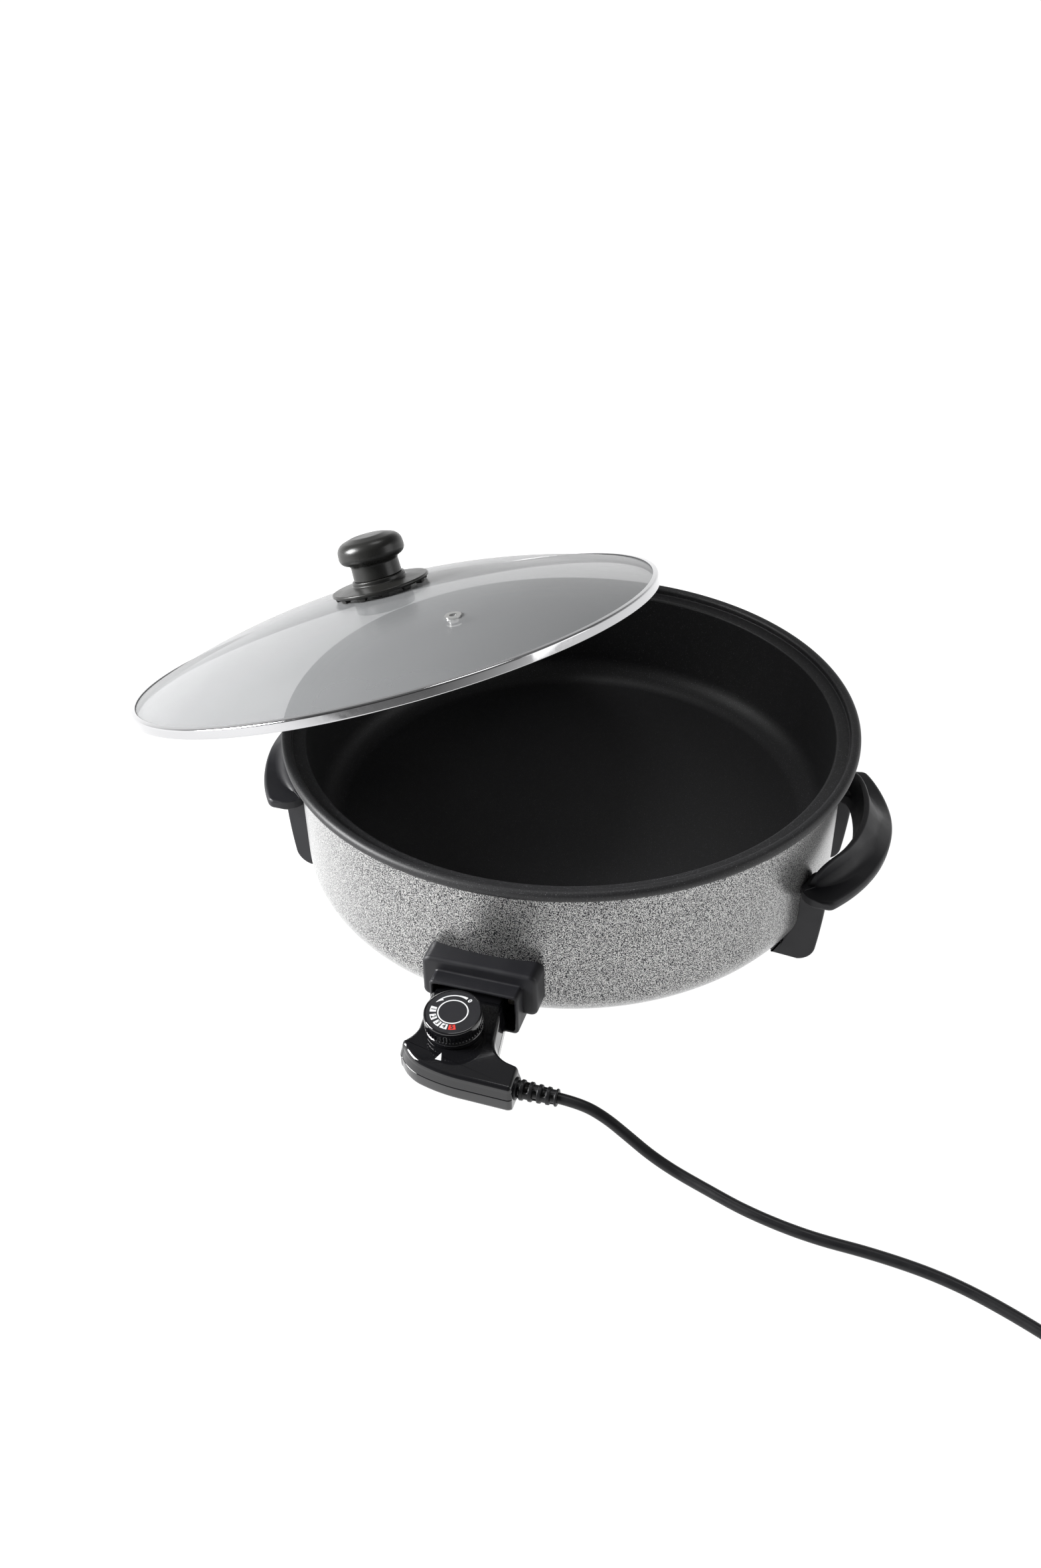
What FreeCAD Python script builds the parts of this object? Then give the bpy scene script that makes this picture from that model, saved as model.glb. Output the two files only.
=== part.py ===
import FreeCAD, Part
import math
import os

import Sketcher
from FreeCAD import Vector

# Electric skillet: a round, deep pan in a painted jacket, on four legs with two side grips, a loose
# glass lid leaning over its left side, and a plug-in control with a dial and a mains cord.
# The origin is on the pan's axis at the table. The socket faces -Y, and the grips are on +X and -X.

# Driving dimensions: alias, number in millimetres or degrees, meaning
DIMENSIONS = [
    ("rim_height", 131.0, "top of the rim above the table"),
    ("rim_roll", 7.3, "diameter of the rolled rim"),
    ("ledge_drop", 5.5, "lid ledge below the top of the rim"),
    ("mouth_radius", 188.0, "inner wall of the pan at its top"),
    ("pan_draft", 4.0, "radius the inner wall loses down to the floor"),
    ("pan_wall", 3.0, "inner pan's wall"),
    ("ledge_round", 2.0, "rounding where the ledge turns down"),
    ("floor_height", 51.0, "cooking floor above the table"),
    ("floor_thick", 5.0, "inner pan's floor"),
    ("floor_fillet", 18.0, "inside round between wall and floor"),
    ("jacket_space", 4.0, "from the pan's wall to the outside of the jacket at the top"),
    ("rim_overhang", 10.0, "outer edge of the rolled rim beyond the jacket"),
    ("jacket_taper", 1.5, "radius the jacket loses down to its corner"),
    ("jacket_wall", 1.5, "jacket's sheet"),
    ("jacket_corner", 29.6, "outside round at the jacket's foot"),
    ("jacket_base", 9.0, "underside of the jacket above the table"),
    ("jacket_turn_in", 35.9, "flange that the jacket turns in under the pan"),
    ("base_plate_lap", 14.0, "edge of the plate under the pan beyond that flange's inner edge"),
    ("base_plate_thick", 1.5, "its sheet"),
    ("vent_inset", 42.0, "circle of the vent holes from the plate's edge"),
    ("vent_hole_radius", 4.0, "one vent hole"),
    ("heat_plate_inset", 8.0, "edge of the plate that spreads the heat, inside the floor's round"),
    ("heat_plate_thick", 4.0, "its thickness"),
    ("element_radius", 4.0, "tube of the heating element"),
    ("element_inset", 48.0, "middle of the element's ring from the edge of the heat plate"),
    ("element_bend", 14.0, "bend from the ring to its straight ends"),
    ("element_gap", 0.1, "tube to plate"),
    ("clamp_sheet", 1.5, "sheet of the element clamps"),
    ("clamp_foot", 8.0, "length of a clamp's foot"),
    ("clamp_angle", 6.0, "width of a clamp as an angle of the ring"),
    ("stud_radius", 3.0, "centre stud"),
    ("stud_flange_radius", 10.0, "its welded head"),
    ("stud_flange_thick", 2.5, "thickness of that head"),
    ("stud_end", 2.0, "lower end of the stud above the table"),
    ("nut_flats", 11.0, "centre nut across flats"),
    ("nut_thick", 4.5, "centre nut"),
    ("seat_gap", 0.1, "clearance between seated pieces"),
    ("slip_gap", 0.3, "clearance between pieces that part"),
    ("turn_gap", 0.08, "running clearance of the dial's spindle"),
    ("plug_x", -3.5, "middle of the control's neck, pins and probe"),
    ("plug_height", 38.0, "pins and probe above the table"),
    ("pin_spread", 14.0, "pins from the middle of the socket"),
    ("pin_radius", 3.0, "one contact pin"),
    ("pin_recess", 6.0, "free end of the pins inside the collar's mouth"),
    ("earth_rise", 7.5, "earth pin above the contact pins"),
    ("earth_radius", 2.0, "earth pin"),
    ("sleeve_spare", 4.0, "length of the tube that takes the probe, beyond the probe's tip"),
    ("probe_radius", 3.0, "temperature probe"),
    ("probe_shoulder", 1.0, "its thicker end in the control, in radius"),
    ("probe_under", 8.0, "how far the probe reaches under the heat plate"),
    ("flange_half_width", 39.0, "socket flange, half its width"),
    ("flange_below", 5.0, "its lower edge below the pins"),
    ("flange_above", 28.0, "its upper edge above the pins"),
    ("flange_depth", 12.0, "front of the flange from the jacket"),
    ("flange_round", 6.0, "round of the flange's corners"),
    ("collar_half_width", 30.0, "socket collar, half its width"),
    ("collar_below", 12.5, "its lower edge below the pins"),
    ("collar_above", 19.0, "its upper edge above the pins"),
    ("collar_wall", 2.5, "socket collar's wall"),
    ("collar_depth", 11.0, "mouth of the collar from the front of the flange"),
    ("collar_round", 3.0, "round of the collar's corners"),
    ("housing_sink", 15.0, "where the housing's blank starts inside the jacket's circle"),
    ("window_half_width", 24.0, "opening in the jacket behind the socket"),
    ("window_below", 9.0, "its lower edge below the pins"),
    ("window_above", 11.5, "its upper edge above the pins"),
    ("insulator_margin", 1.5, "insulator plate beyond the window"),
    ("insulator_thick", 3.0, "the plate itself"),
    ("insulator_nose", 1.0, "front of its raised middle beyond the jacket"),
    ("screw_radius", 1.9, "shank of the larger screws"),
    ("screw_head_radius", 3.6, "head of the larger screws"),
    ("screw_head_thick", 2.0, "its height"),
    ("socket_screw_side", 6.0, "socket screws from the flange's sides"),
    ("socket_screw_edge", 7.0, "the same from its upper and lower edge"),
    ("socket_screw_length", 14.0, "their shanks"),
    ("grip_reach", 39.2, "outermost point of a grip from the jacket"),
    ("grip_outer_curve", 130.0, "curve of its outer edge, seen from above"),
    ("grip_crest_reach", 21.0, "crest of the grip from the jacket, at its middle"),
    ("grip_crest_curve", 120.0, "curve of the crest"),
    ("grip_crest_width", 3.5, "flat along the crest"),
    ("grip_inner_reach", 12.0, "lower inner edge from the jacket, at the middle"),
    ("grip_inner_curve", 113.0, "curve of that edge"),
    ("grip_half_length", 80.0, "grip from its middle to its end"),
    ("grip_end_round", 3.0, "round of the outer corner at each end"),
    ("grip_end_flat", 4.0, "straight end of the grip between its two corners"),
    ("grip_inner_round", 13.0, "length of the round of the inner corner at each end"),
    ("grip_under_height", 59.5, "underside at the ends, on the legs, above the table"),
    ("grip_edge_rise", 8.0, "outer edge above that underside"),
    ("grip_crest_rise", 16.5, "crest above the outer edge"),
    ("grip_belly_drop", 3.5, "how far the middle hangs below the ends"),
    ("grip_crest_run", 44.0, "where the crest starts to come down"),
    ("grip_crest_end", 64.5, "where it has come down to the end pad"),
    ("grip_bend_run", 38.0, "where the crest turns towards the wall"),
    ("grip_crest_draw", 5.4, "how far it is drawn in by its end"),
    ("grip_dish_run", 22.0, "where the hollow outside the crest starts to deepen"),
    ("grip_dish_end", 48.0, "where that hollow is as low as the end pad"),
    ("grip_dish_depth", 1.0, "depth of the hollow at the middle of the grip"),
    ("grip_pad_drop", 1.5, "top of the end pads below the outer edge"),
    ("grip_pad_start", 45.0, "where the inner side turns to the wall"),
    ("grip_pad_run", 13.0, "from there to where the end pads lie on the wall"),
    ("grip_screw_azimuth", 18.5, "screws that hold a grip, either side of its middle"),
    ("grip_screw_rise", 3.2, "the same above the grip's underside"),
    ("grip_screw_length", 13.0, "their shanks"),
    ("leg_side", 53.0, "near side of a leg from the pan's middle plane"),
    ("leg_width", 12.0, "width of a leg"),
    ("leg_proud", 5.2, "outer edge of a leg beyond the jacket, at its top"),
    ("leg_sink", 14.0, "inner edge of its blank inside the jacket's circle"),
    ("leg_knee_height", 18.0, "where that edge turns in towards the foot"),
    ("leg_lean", 3.8, "how far the outer edge comes in on its way down"),
    ("leg_bow", 400.0, "curve of the outer edge"),
    ("leg_toe_height", 13.0, "where the toe starts to turn under"),
    ("leg_toe_round", 14.0, "curve of the toe"),
    ("leg_sole_setback", 10.0, "outer end of the sole inside the jacket's circle"),
    ("leg_sole_length", 19.0, "length of the sole"),
    ("leg_tab_length", 21.0, "tab under the jacket, on from the sole"),
    ("leg_tab_thick", 4.8, "thickness of that tab"),
    ("foot_screw_inset", 4.0, "screw from the end of the tab"),
    ("foot_screw_length", 8.0, "its shank"),
    ("lid_cover", 61.0, "middle of the lid's lower edge inside the jacket's circle, on the left"),
    ("lid_y", 8.5, "the same from the pan's middle plane"),
    ("lid_above_rim", 31.3, "the same, above the rim"),
    ("lid_lean", 21.8, "lean of the lid"),
    ("lid_azimuth", 146.0, "direction in which it leans"),
    ("lid_lap", 8.0, "outside of the lid's band beyond the mouth of the pan"),
    ("band_height", 6.8, "height of the band"),
    ("band_sheet", 0.8, "its sheet"),
    ("band_lip", 3.8, "lips that turn in over and under the glass"),
    ("glass_inset", 2.0, "glass edge from the outside of the band"),
    ("glass_rise", 34.2, "top of the glass above its edge"),
    ("glass_thick", 4.0, "the glass"),
    ("glass_hole", 4.6, "hole for the knob's screw"),
    ("vent_reach", 116.0, "steam vent from the lid's middle"),
    ("vent_azimuth", -42.0, "its direction"),
    ("vent_bore", 2.5, "bore of the vent's eyelet"),
    ("vent_tube", 3.9, "outside of the eyelet"),
    ("vent_flange", 5.7, "flange of the eyelet"),
    ("vent_flange_thick", 1.0, "thickness of that flange"),
    ("knob_base_radius", 35.6, "plate under the knob"),
    ("knob_base_rise", 4.8, "top of that plate's edge above the glass"),
    ("knob_collar_radius", 19.3, "collar on that plate"),
    ("knob_collar_rise", 5.0, "top of the collar above the plate"),
    ("knob_neck_radius", 17.6, "neck of the knob"),
    ("knob_neck_length", 10.0, "its length above the collar"),
    ("knob_radius", 23.3, "widest part of the knob"),
    ("knob_wide_rise", 9.5, "that part above the neck"),
    ("knob_top_rise", 10.7, "top of the knob above its widest part"),
    ("knob_crown", 82.0, "curve of its top"),
    ("knob_flare", 6.0, "hollow curve from the neck out to the head"),
    ("knob_cheek", 9.0, "curve of the head's underside"),
    ("knob_shoulder", 12.5, "curve from its widest part to the top"),
    ("knob_screw_radius", 2.6, "screw up the knob"),
    ("knob_screw_grip", 5.0, "length of that screw above the neck"),
    ("inner_cap_radius", 21.5, "cup under the glass"),
    ("inner_cap_depth", 9.0, "depth of that cup"),
    ("inner_cap_wall", 2.4, "its wall"),
    ("shell_wall", 2.2, "walls of the control"),
    ("control_below", 11.0, "underside of the control below the pins"),
    ("parting_below", 2.0, "where its two shells meet below the pins, and the cord's axis"),
    ("face_above", 12.5, "top face of the control above the pins, at the collar's mouth"),
    ("face_slope", 5.5, "slope of that face"),
    ("control_length", 64.6, "control from the mouth to its front"),
    ("neck_half_width", 24.2, "half width of the control's neck"),
    ("control_end_x", 46.4, "end face, where the cord leaves"),
    ("lower_bulge", 1.5, "how far the lower shell stands proud"),
    ("tongue_half_width", 22.5, "part of the neck inside the collar"),
    ("tongue_length", 14.0, "that part inside the collar's mouth"),
    ("tongue_below", 9.0, "its underside below the pins"),
    ("tongue_above", 12.0, "its top above the pins"),
    ("contact_wall", 0.9, "wall of the contact sleeves"),
    ("contact_reach", 4.0, "inner end of the contact sleeves from the collar's mouth"),
    ("arm_below", 3.6, "underside of the contact arms below the pins' axis"),
    ("arm_thick", 0.8, "contact arms"),
    ("arm_half_width", 2.5, "half their width"),
    ("arm_length", 20.0, "their length from the sleeves"),
    ("base_setback", 12.5, "thermostat base from the contact sleeves"),
    ("base_past_dial", 11.0, "its far end beyond the dial's axis"),
    ("guide_height", 8.0, "guide of the dial's spindle on that base"),
    ("guide_sink", 3.0, "how far the guide starts below the spindle's bore"),
    ("dial_x", -3.0, "dial axis"),
    ("dial_setback", 27.0, "dial axis from the collar's mouth"),
    ("dial_radius", 18.6, "the dial"),
    ("dial_height", 14.9, "its top above the control's face"),
    ("dial_lift", 0.4, "gap under the dial"),
    ("dial_skirt", 4.2, "height of its skirt"),
    ("label_inset", 1.4, "edge of the printed disc from the dial's edge"),
    ("label_thick", 0.5, "that disc"),
    ("spindle_radius", 3.0, "its spindle"),
    ("spindle_depth", 13.0, "spindle below the control's face"),
    ("case_screw_radius", 1.3, "screws of the control's case"),
    ("case_screw_head", 2.6, "their heads"),
    ("case_screw_length", 9.0, "their shanks"),
    ("case_pillar", 3.4, "pillars for these screws"),
    ("case_screw_side", 14.5, "left screw from the middle of the neck"),
    ("case_screw_front", 12.5, "the same from the control's front"),
    ("case_screw_end", 22.0, "right screw from the end face"),
    ("case_screw_corner", 8.0, "the same from the control's front"),
    ("case_screw_back", 7.5, "third screw from the contact sleeves"),
    ("boot_setback", 10.1, "cord's axis at the end face, from the control's front"),
    ("boot_end", 73.0, "end of the strain relief"),
    ("boot_radius", 7.2, "its first rib"),
    ("boot_tip_radius", 5.6, "its last rib"),
    ("boot_groove", 1.9, "depth of the grooves"),
    ("boot_neck", 4.4, "neck in the case wall"),
    ("boot_flange", 6.4, "flange behind the wall"),
    ("cord_radius", 3.5, "mains cord"),
    ("tie_thick", 0.8, "band that holds the coil"),
    ("tie_width", 10.0, "its width"),
    ("plug_radius", 18.3, "mains plug"),
    ("plug_length", 38.0, "its body"),
    ("plug_boot_length", 22.0, "its strain relief"),
    ("plug_pin_radius", 2.4, "its pins"),
    ("plug_pin_length", 19.0, "their length"),
    ("plug_pin_spread", 9.5, "pins from the plug's axis"),
]

CLAMP_COUNT = 3
VENT_HOLE_COUNT = 8
TOOTH_COUNT = 12
TOOTH_ANGLE = 9.0
BOOT_RIBS = 5
FULL_TURN = 360.0
TOLERANCE = 0.01

# Grip sections: least step between two points, place of the hollow between crest and outer edge, foot of
# the crest's inner face above the end pad and inside the crest, and setback of the underside
GRIP_STEP = 0.4
GRIP_DISH_PLACE = 0.45
GRIP_FOOT_RISE = 2.0
GRIP_FOOT_SETBACK = 1.0
GRIP_UNDER_SETBACK = 1.0

# Free cord on the table, chosen by hand: it drops from the strain relief and runs off to the right
LEAD_ROUTE = [
    (73.0, -272.5, 36.0),
    (88.0, -272.7, 35.6),
    (103.0, -273.5, 29.4),
    (117.0, -275.0, 20.0),
    (132.0, -277.6, 10.8),
    (149.0, -281.5, 5.3),
    (168.5, -287.5, 3.8),
    (196.0, -297.5, 3.8),
    (233.0, -304.8, 3.8),
    (272.5, -305.8, 3.8),
    (312.5, -311.3, 3.8),
    (352.0, -325.4, 4.0),
]
TAIL_ROUTE = [
    (464.9, -311.3, 12.4),
    (470.6, -297.5, 15.0),
    (474.2, -282.5, 17.7),
    (475.0, -267.0, 18.3),
    (475.0, -252.0, 18.3),
]
RUN_SHARE = 0.45

# Coil of the spare cord: it spirals in on the table, climbs a layer and spirals out again
COIL_MIDDLE = (417.5, -309.7)
COIL_HEIGHT = 4.5
COIL_OUTER = 43.0
COIL_PITCH = 7.5
COIL_START = -117.0
COIL_TURNS = 3.25
COIL_CLIMB = 180.0
COIL_STEP = 90.0
TIE_AZIMUTH = -60.0
TIE_CLEARANCE = 0.5


class Size:
    """A length or an angle: its number, and the formula that the document keeps for it."""

    def __init__(self, number, formula):
        self.number = number
        self.formula = formula

    def __add__(self, other):
        other = size(other)
        return Size(self.number + other.number, "(%s + %s)" % (self.formula, other.formula))

    def __sub__(self, other):
        other = size(other)
        return Size(self.number - other.number, "(%s - %s)" % (self.formula, other.formula))

    def __mul__(self, other):
        other = size(other)
        return Size(self.number * other.number, "(%s * %s)" % (self.formula, other.formula))

    def __truediv__(self, other):
        other = size(other)
        return Size(self.number / other.number, "(%s / %s)" % (self.formula, other.formula))

    def __radd__(self, other):
        return size(other) + self

    def __rsub__(self, other):
        return size(other) - self

    def __rmul__(self, other):
        return size(other) * self

    def __neg__(self):
        return Size(-self.number, "(-%s)" % self.formula)


def size(value):
    """A plain number as a Size."""
    if isinstance(value, Size):
        return value
    return Size(float(value), "(%r)" % float(value))


def root(value):
    """Square root of a Size."""
    return Size(math.sqrt(value.number), "sqrt(%s)" % value.formula)


def sine(angle):
    """Sine of an angle in degrees."""
    angle = size(angle)
    return Size(math.sin(math.radians(angle.number)), "sin(%s)" % angle.formula)


def cosine(angle):
    """Cosine of an angle in degrees."""
    angle = size(angle)
    return Size(math.cos(math.radians(angle.number)), "cos(%s)" % angle.formula)


def arc_sine(value):
    """The angle in degrees with that sine."""
    return Size(math.degrees(math.asin(value.number)), "asin(%s)" % value.formula)


def slope(angle):
    """Tangent of an angle in degrees."""
    return sine(angle) / cosine(angle)


def write_sheet(doc):
    """The sheet of driving dimensions, and each of them as a Size."""
    sheet = doc.addObject("Spreadsheet::Sheet", "Sizes")
    sizes = {}
    for row, (alias, number, meaning) in enumerate(DIMENSIONS, start=1):
        sheet.set("A%d" % row, meaning)
        sheet.set("B%d" % row, str(number))
        sheet.setAlias("B%d" % row, alias)
        sizes[alias] = Size(number, "Sizes." + alias)
    doc.recompute()
    return sizes


DOC = FreeCAD.newDocument("skillet")
S = write_sheet(DOC)
PARTS = []


def part(thing, label):
    """Names a finished sub-part and puts it on the list that is written out."""
    thing.Label = label
    PARTS.append(thing)
    return thing


# Drawing helpers

def body(name):
    """An empty body."""
    new = DOC.addObject("PartDesign::Body", name)
    new.AllowCompound = True
    return new


def pose(x=0.0, y=0.0, z=0.0, azimuth=0.0, lean=0.0):
    """Formula of a placement whose Z axis leans from vertical towards an azimuth."""
    across = -sine(azimuth)
    along = cosine(azimuth)
    base = "create(<<vector>>; %s; %s; %s)" % (size(x).formula, size(y).formula, size(z).formula)
    axis = "create(<<vector>>; %s; %s; 0)" % (across.formula, along.formula)
    turn = "create(<<rotation>>; %s; %s)" % (axis, size(lean).formula)
    return "create(<<placement>>; %s; %s)" % (base, turn)


def place(thing, formula):
    """Binds the placement of a piece to a formula."""
    thing.setExpression("Placement", formula)
    return thing


def sketch(owner, name, plane, offset=None):
    """An empty sketch on one of the body's own origin planes."""
    new = owner.newObject("Sketcher::SketchObject", name)
    support = [item for item in owner.Origin.OriginFeatures if item.Role == plane][0]
    new.AttachmentSupport = (support, [""])
    new.MapMode = "FlatFace"
    if offset is not None:
        new.AttachmentOffset = FreeCAD.Placement(Vector(0, 0, size(offset).number), FreeCAD.Rotation())
        new.setExpression("AttachmentOffset.Base.z", size(offset).formula)
    return new


def bind(drawing, kind, edge, point, value):
    """Ties one coordinate of a point to its formula."""
    value = size(value)
    index = drawing.addConstraint(Sketcher.Constraint(kind, -1, 1, edge, point, value.number))
    drawing.setExpression("Constraints[%d]" % index, value.formula)


def arc_between(first, last, radius, turn):
    """An arc of less than half a turn that bends left for turn 1 and right for turn -1."""
    chord = last - first
    rise = math.sqrt(max(radius * radius - chord.Length * chord.Length / 4, 0.0))
    left = Vector(-chord.y, chord.x, 0).normalize()
    middle = (first + last) / 2 + left * rise * turn
    start = first if turn > 0 else last
    end = last if turn > 0 else first
    begin_angle = math.atan2(start.y - middle.y, start.x - middle.x)
    end_angle = math.atan2(end.y - middle.y, end.x - middle.x)
    circle = Part.Circle(middle, Vector(0, 0, 1), radius)
    return Part.ArcOfCircle(circle, begin_angle, end_angle)


def outline(drawing, points, arcs=None, closed=True):
    """Lines through the points, with arcs (radius, turn) on the edges that are named by number."""
    arcs = arcs or {}
    points = [(size(x), size(y)) for x, y in points]
    count = len(points) if closed else len(points) - 1
    first_edge = drawing.GeometryCount
    ends = []
    for number in range(count):
        start = Vector(points[number][0].number, points[number][1].number, 0)
        following = points[(number + 1) % len(points)]
        stop = Vector(following[0].number, following[1].number, 0)
        if number in arcs:
            radius, turn = arcs[number]
            edge = drawing.addGeometry(arc_between(start, stop, size(radius).number, turn), False)
            index = drawing.addConstraint(Sketcher.Constraint("Radius", edge, size(radius).number))
            drawing.setExpression("Constraints[%d]" % index, size(radius).formula)
            ends.append((1, 2) if turn > 0 else (2, 1))
        else:
            drawing.addGeometry(Part.LineSegment(start, stop), False)
            ends.append((1, 2))
    for number in range(count if closed else count - 1):
        edge = first_edge + number
        following = (number + 1) % count
        joint = (edge, ends[number][1], first_edge + following, ends[following][0])
        drawing.addConstraint(Sketcher.Constraint("Coincident", *joint))
    for number in range(count):
        bind(drawing, "DistanceX", first_edge + number, ends[number][0], points[number][0])
        bind(drawing, "DistanceY", first_edge + number, ends[number][0], points[number][1])
    if not closed:
        bind(drawing, "DistanceX", first_edge + count - 1, ends[-1][1], points[-1][0])
        bind(drawing, "DistanceY", first_edge + count - 1, ends[-1][1], points[-1][1])
    return drawing


def ring(drawing, x, y, radius):
    """A circle at a bound place with a bound radius."""
    x, y, radius = size(x), size(y), size(radius)
    circle = Part.Circle(Vector(x.number, y.number, 0), Vector(0, 0, 1), radius.number)
    edge = drawing.addGeometry(circle, False)
    bind(drawing, "DistanceX", edge, 3, x)
    bind(drawing, "DistanceY", edge, 3, y)
    index = drawing.addConstraint(Sketcher.Constraint("Radius", edge, radius.number))
    drawing.setExpression("Constraints[%d]" % index, radius.formula)
    return drawing


def rounded(drawing, left, right, low, high, radius):
    """A rectangle with round corners."""
    points = [
        (left + radius, low), (right - radius, low), (right, low + radius), (right, high - radius),
        (right - radius, high), (left + radius, high), (left, high - radius), (left, low + radius),
    ]
    corners = {1: (radius, 1), 3: (radius, 1), 5: (radius, 1), 7: (radius, 1)}
    return outline(drawing, points, corners)


def pad(owner, drawing, length, symmetric=False, backwards=False):
    """Adds the sketch pulled out along its normal."""
    feature = owner.newObject("PartDesign::Pad", drawing.Name + "_pad")
    feature.Profile = (drawing, [""])
    feature.setExpression("Length", size(length).formula)
    if symmetric:
        feature.SideType = "Symmetric"
    feature.Reversed = backwards
    return feature


def pocket(owner, drawing, length, symmetric=False, backwards=False):
    """Cuts the sketch pulled against its normal, or along it when backwards."""
    DOC.recompute()
    before = owner.Shape.Volume
    feature = owner.newObject("PartDesign::Pocket", drawing.Name + "_cut")
    feature.Profile = (drawing, [""])
    feature.setExpression("Length", size(length).formula)
    if symmetric:
        feature.SideType = "Symmetric"
    feature.Reversed = backwards
    DOC.recompute()
    if owner.Shape.Volume > before - TOLERANCE:
        raise RuntimeError("%s cuts nothing" % feature.Name)
    return feature


def revolve(owner, drawing, axis="V_Axis", angle=FULL_TURN):
    """Adds the sketch turned about one of its own axes."""
    feature = owner.newObject("PartDesign::Revolution", drawing.Name + "_turned")
    feature.Profile = (drawing, [""])
    feature.ReferenceAxis = (drawing, [axis])
    feature.setExpression("Angle", size(angle).formula)
    return feature


def groove(owner, drawing, axis="V_Axis"):
    """Cuts the sketch turned once about one of its own axes."""
    DOC.recompute()
    before = owner.Shape.Volume
    feature = owner.newObject("PartDesign::Groove", drawing.Name + "_grooved")
    feature.Profile = (drawing, [""])
    feature.ReferenceAxis = (drawing, [axis])
    feature.Angle = FULL_TURN
    DOC.recompute()
    if owner.Shape.Volume > before - TOLERANCE:
        raise RuntimeError("%s cuts nothing" % feature.Name)
    return feature


def around(owner, feature, drawing, count):
    """Repeats a feature evenly round the sketch's vertical axis."""
    pattern = owner.newObject("PartDesign::PolarPattern", feature.Name + "_around")
    pattern.Originals = [feature]
    pattern.Axis = (drawing, ["V_Axis"])
    pattern.Angle = FULL_TURN
    pattern.Occurrences = count
    owner.Tip = pattern
    return pattern


def turned(name, points, arcs=None, placement=None):
    """A body made by turning one outline about the Z axis."""
    owner = body(name)
    drawing = outline(sketch(owner, name + "_outline", "XZ_Plane"), points, arcs)
    revolve(owner, drawing)
    if placement:
        place(owner, placement)
    return owner


def rod(name, radius, length, placement):
    """A cylinder along the Z axis of its placement."""
    new = DOC.addObject("Part::Cylinder", name)
    new.setExpression("Radius", size(radius).formula)
    new.setExpression("Height", size(length).formula)
    return place(new, placement)


def block(name, x_pair, y_pair, z_pair):
    """A box between two values on each axis."""
    new = DOC.addObject("Part::Box", name)
    for side, pair in (("Length", x_pair), ("Width", y_pair), ("Height", z_pair)):
        new.setExpression(side, (size(pair[1]) - size(pair[0])).formula)
    return place(new, pose(x_pair[0], y_pair[0], z_pair[0]))


def group(name, pieces):
    """Several separate solids that stay separate."""
    new = DOC.addObject("Part::Compound", name)
    new.Links = pieces
    return new


def joined(name, pieces):
    """Pieces fused into one solid."""
    new = DOC.addObject("Part::MultiFuse", name)
    new.Shapes = pieces
    return new


def cut(name, base, tools):
    """One piece with others taken out of it."""
    new = DOC.addObject("Part::Cut", name)
    new.Base = base
    new.Tool = tools[0] if len(tools) == 1 else group(name + "_tools", tools)
    return new


def tube(name, outer, inner, length, placement):
    """A rod with a bore."""
    shell = rod(name + "_outside", outer, length, placement)
    return cut(name + "_tube", shell, [rod(name + "_bore", inner, length, placement)])


def screw(name, radius, length, head_radius, head_thick, placement):
    """A plain screw with its shank along Z and its head below."""
    shank = rod(name + "_shank", radius, length, placement)
    head = rod(name + "_head", head_radius, head_thick, placement + " * " + pose(lean=180.0))
    return joined(name, [shank, head])


# Values that several pieces share

JACKET_RADIUS = S["mouth_radius"] + S["pan_wall"] + S["jacket_space"]
ROLL = S["rim_roll"] / 2
ROLL_MIDDLE = JACKET_RADIUS + S["rim_overhang"] - ROLL
LEDGE_UNDER = S["rim_height"] - S["ledge_drop"] - S["pan_wall"]
PAN_UNDER = S["floor_height"] - S["floor_thick"]
HEAT_UNDER = PAN_UNDER - S["heat_plate_thick"]
CORNER_MIDDLE = JACKET_RADIUS - S["jacket_taper"] - S["jacket_corner"]
CORNER_HEIGHT = S["jacket_base"] + S["jacket_corner"]
FLANGE_INNER = CORNER_MIDDLE - S["jacket_turn_in"]
PLATE_RADIUS = FLANGE_INNER + S["base_plate_lap"]
PLATE_UNDER = S["jacket_base"] - S["base_plate_thick"]
HEAT_RADIUS = S["mouth_radius"] - S["pan_draft"] - S["floor_fillet"] - S["heat_plate_inset"]
ELEMENT_RING = HEAT_RADIUS - S["element_inset"]
LID_RADIUS = S["mouth_radius"] + S["lid_lap"]
LID_X = S["lid_cover"] - JACKET_RADIUS
LID_POSE = pose(LID_X, S["lid_y"], S["rim_height"] + S["lid_above_rim"], S["lid_azimuth"], S["lid_lean"])
GLASS_EDGE = S["band_height"] - S["band_sheet"]
GLASS_APEX = GLASS_EDGE + S["glass_rise"]
KNOB_PLATE_TOP = GLASS_APEX + S["knob_base_rise"]
KNOB_COLLAR_TOP = KNOB_PLATE_TOP + S["knob_collar_rise"]
KNOB_NECK_TOP = KNOB_COLLAR_TOP + S["knob_neck_length"]
KNOB_SCREW_END = KNOB_NECK_TOP + S["knob_screw_grip"]
FLANGE_FRONT = JACKET_RADIUS + S["flange_depth"]
COLLAR_MOUTH = FLANGE_FRONT + S["collar_depth"]
HOUSING_BACK = JACKET_RADIUS - S["housing_sink"]
FLANGE_LOW = S["plug_height"] - S["flange_below"]
FLANGE_TOP = S["plug_height"] + S["flange_above"]
COLLAR_LOW = S["plug_height"] - S["collar_below"]
COLLAR_TOP = S["plug_height"] + S["collar_above"]
WINDOW_LOW = S["plug_height"] - S["window_below"]
WINDOW_TOP = S["plug_height"] + S["window_above"]
EARTH_HEIGHT = S["plug_height"] + S["earth_rise"]
PIN_END = COLLAR_MOUTH - S["pin_recess"]
PROBE_END = HEAT_RADIUS - S["probe_under"]
SLEEVE_END = PROBE_END - S["sleeve_spare"]
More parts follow.
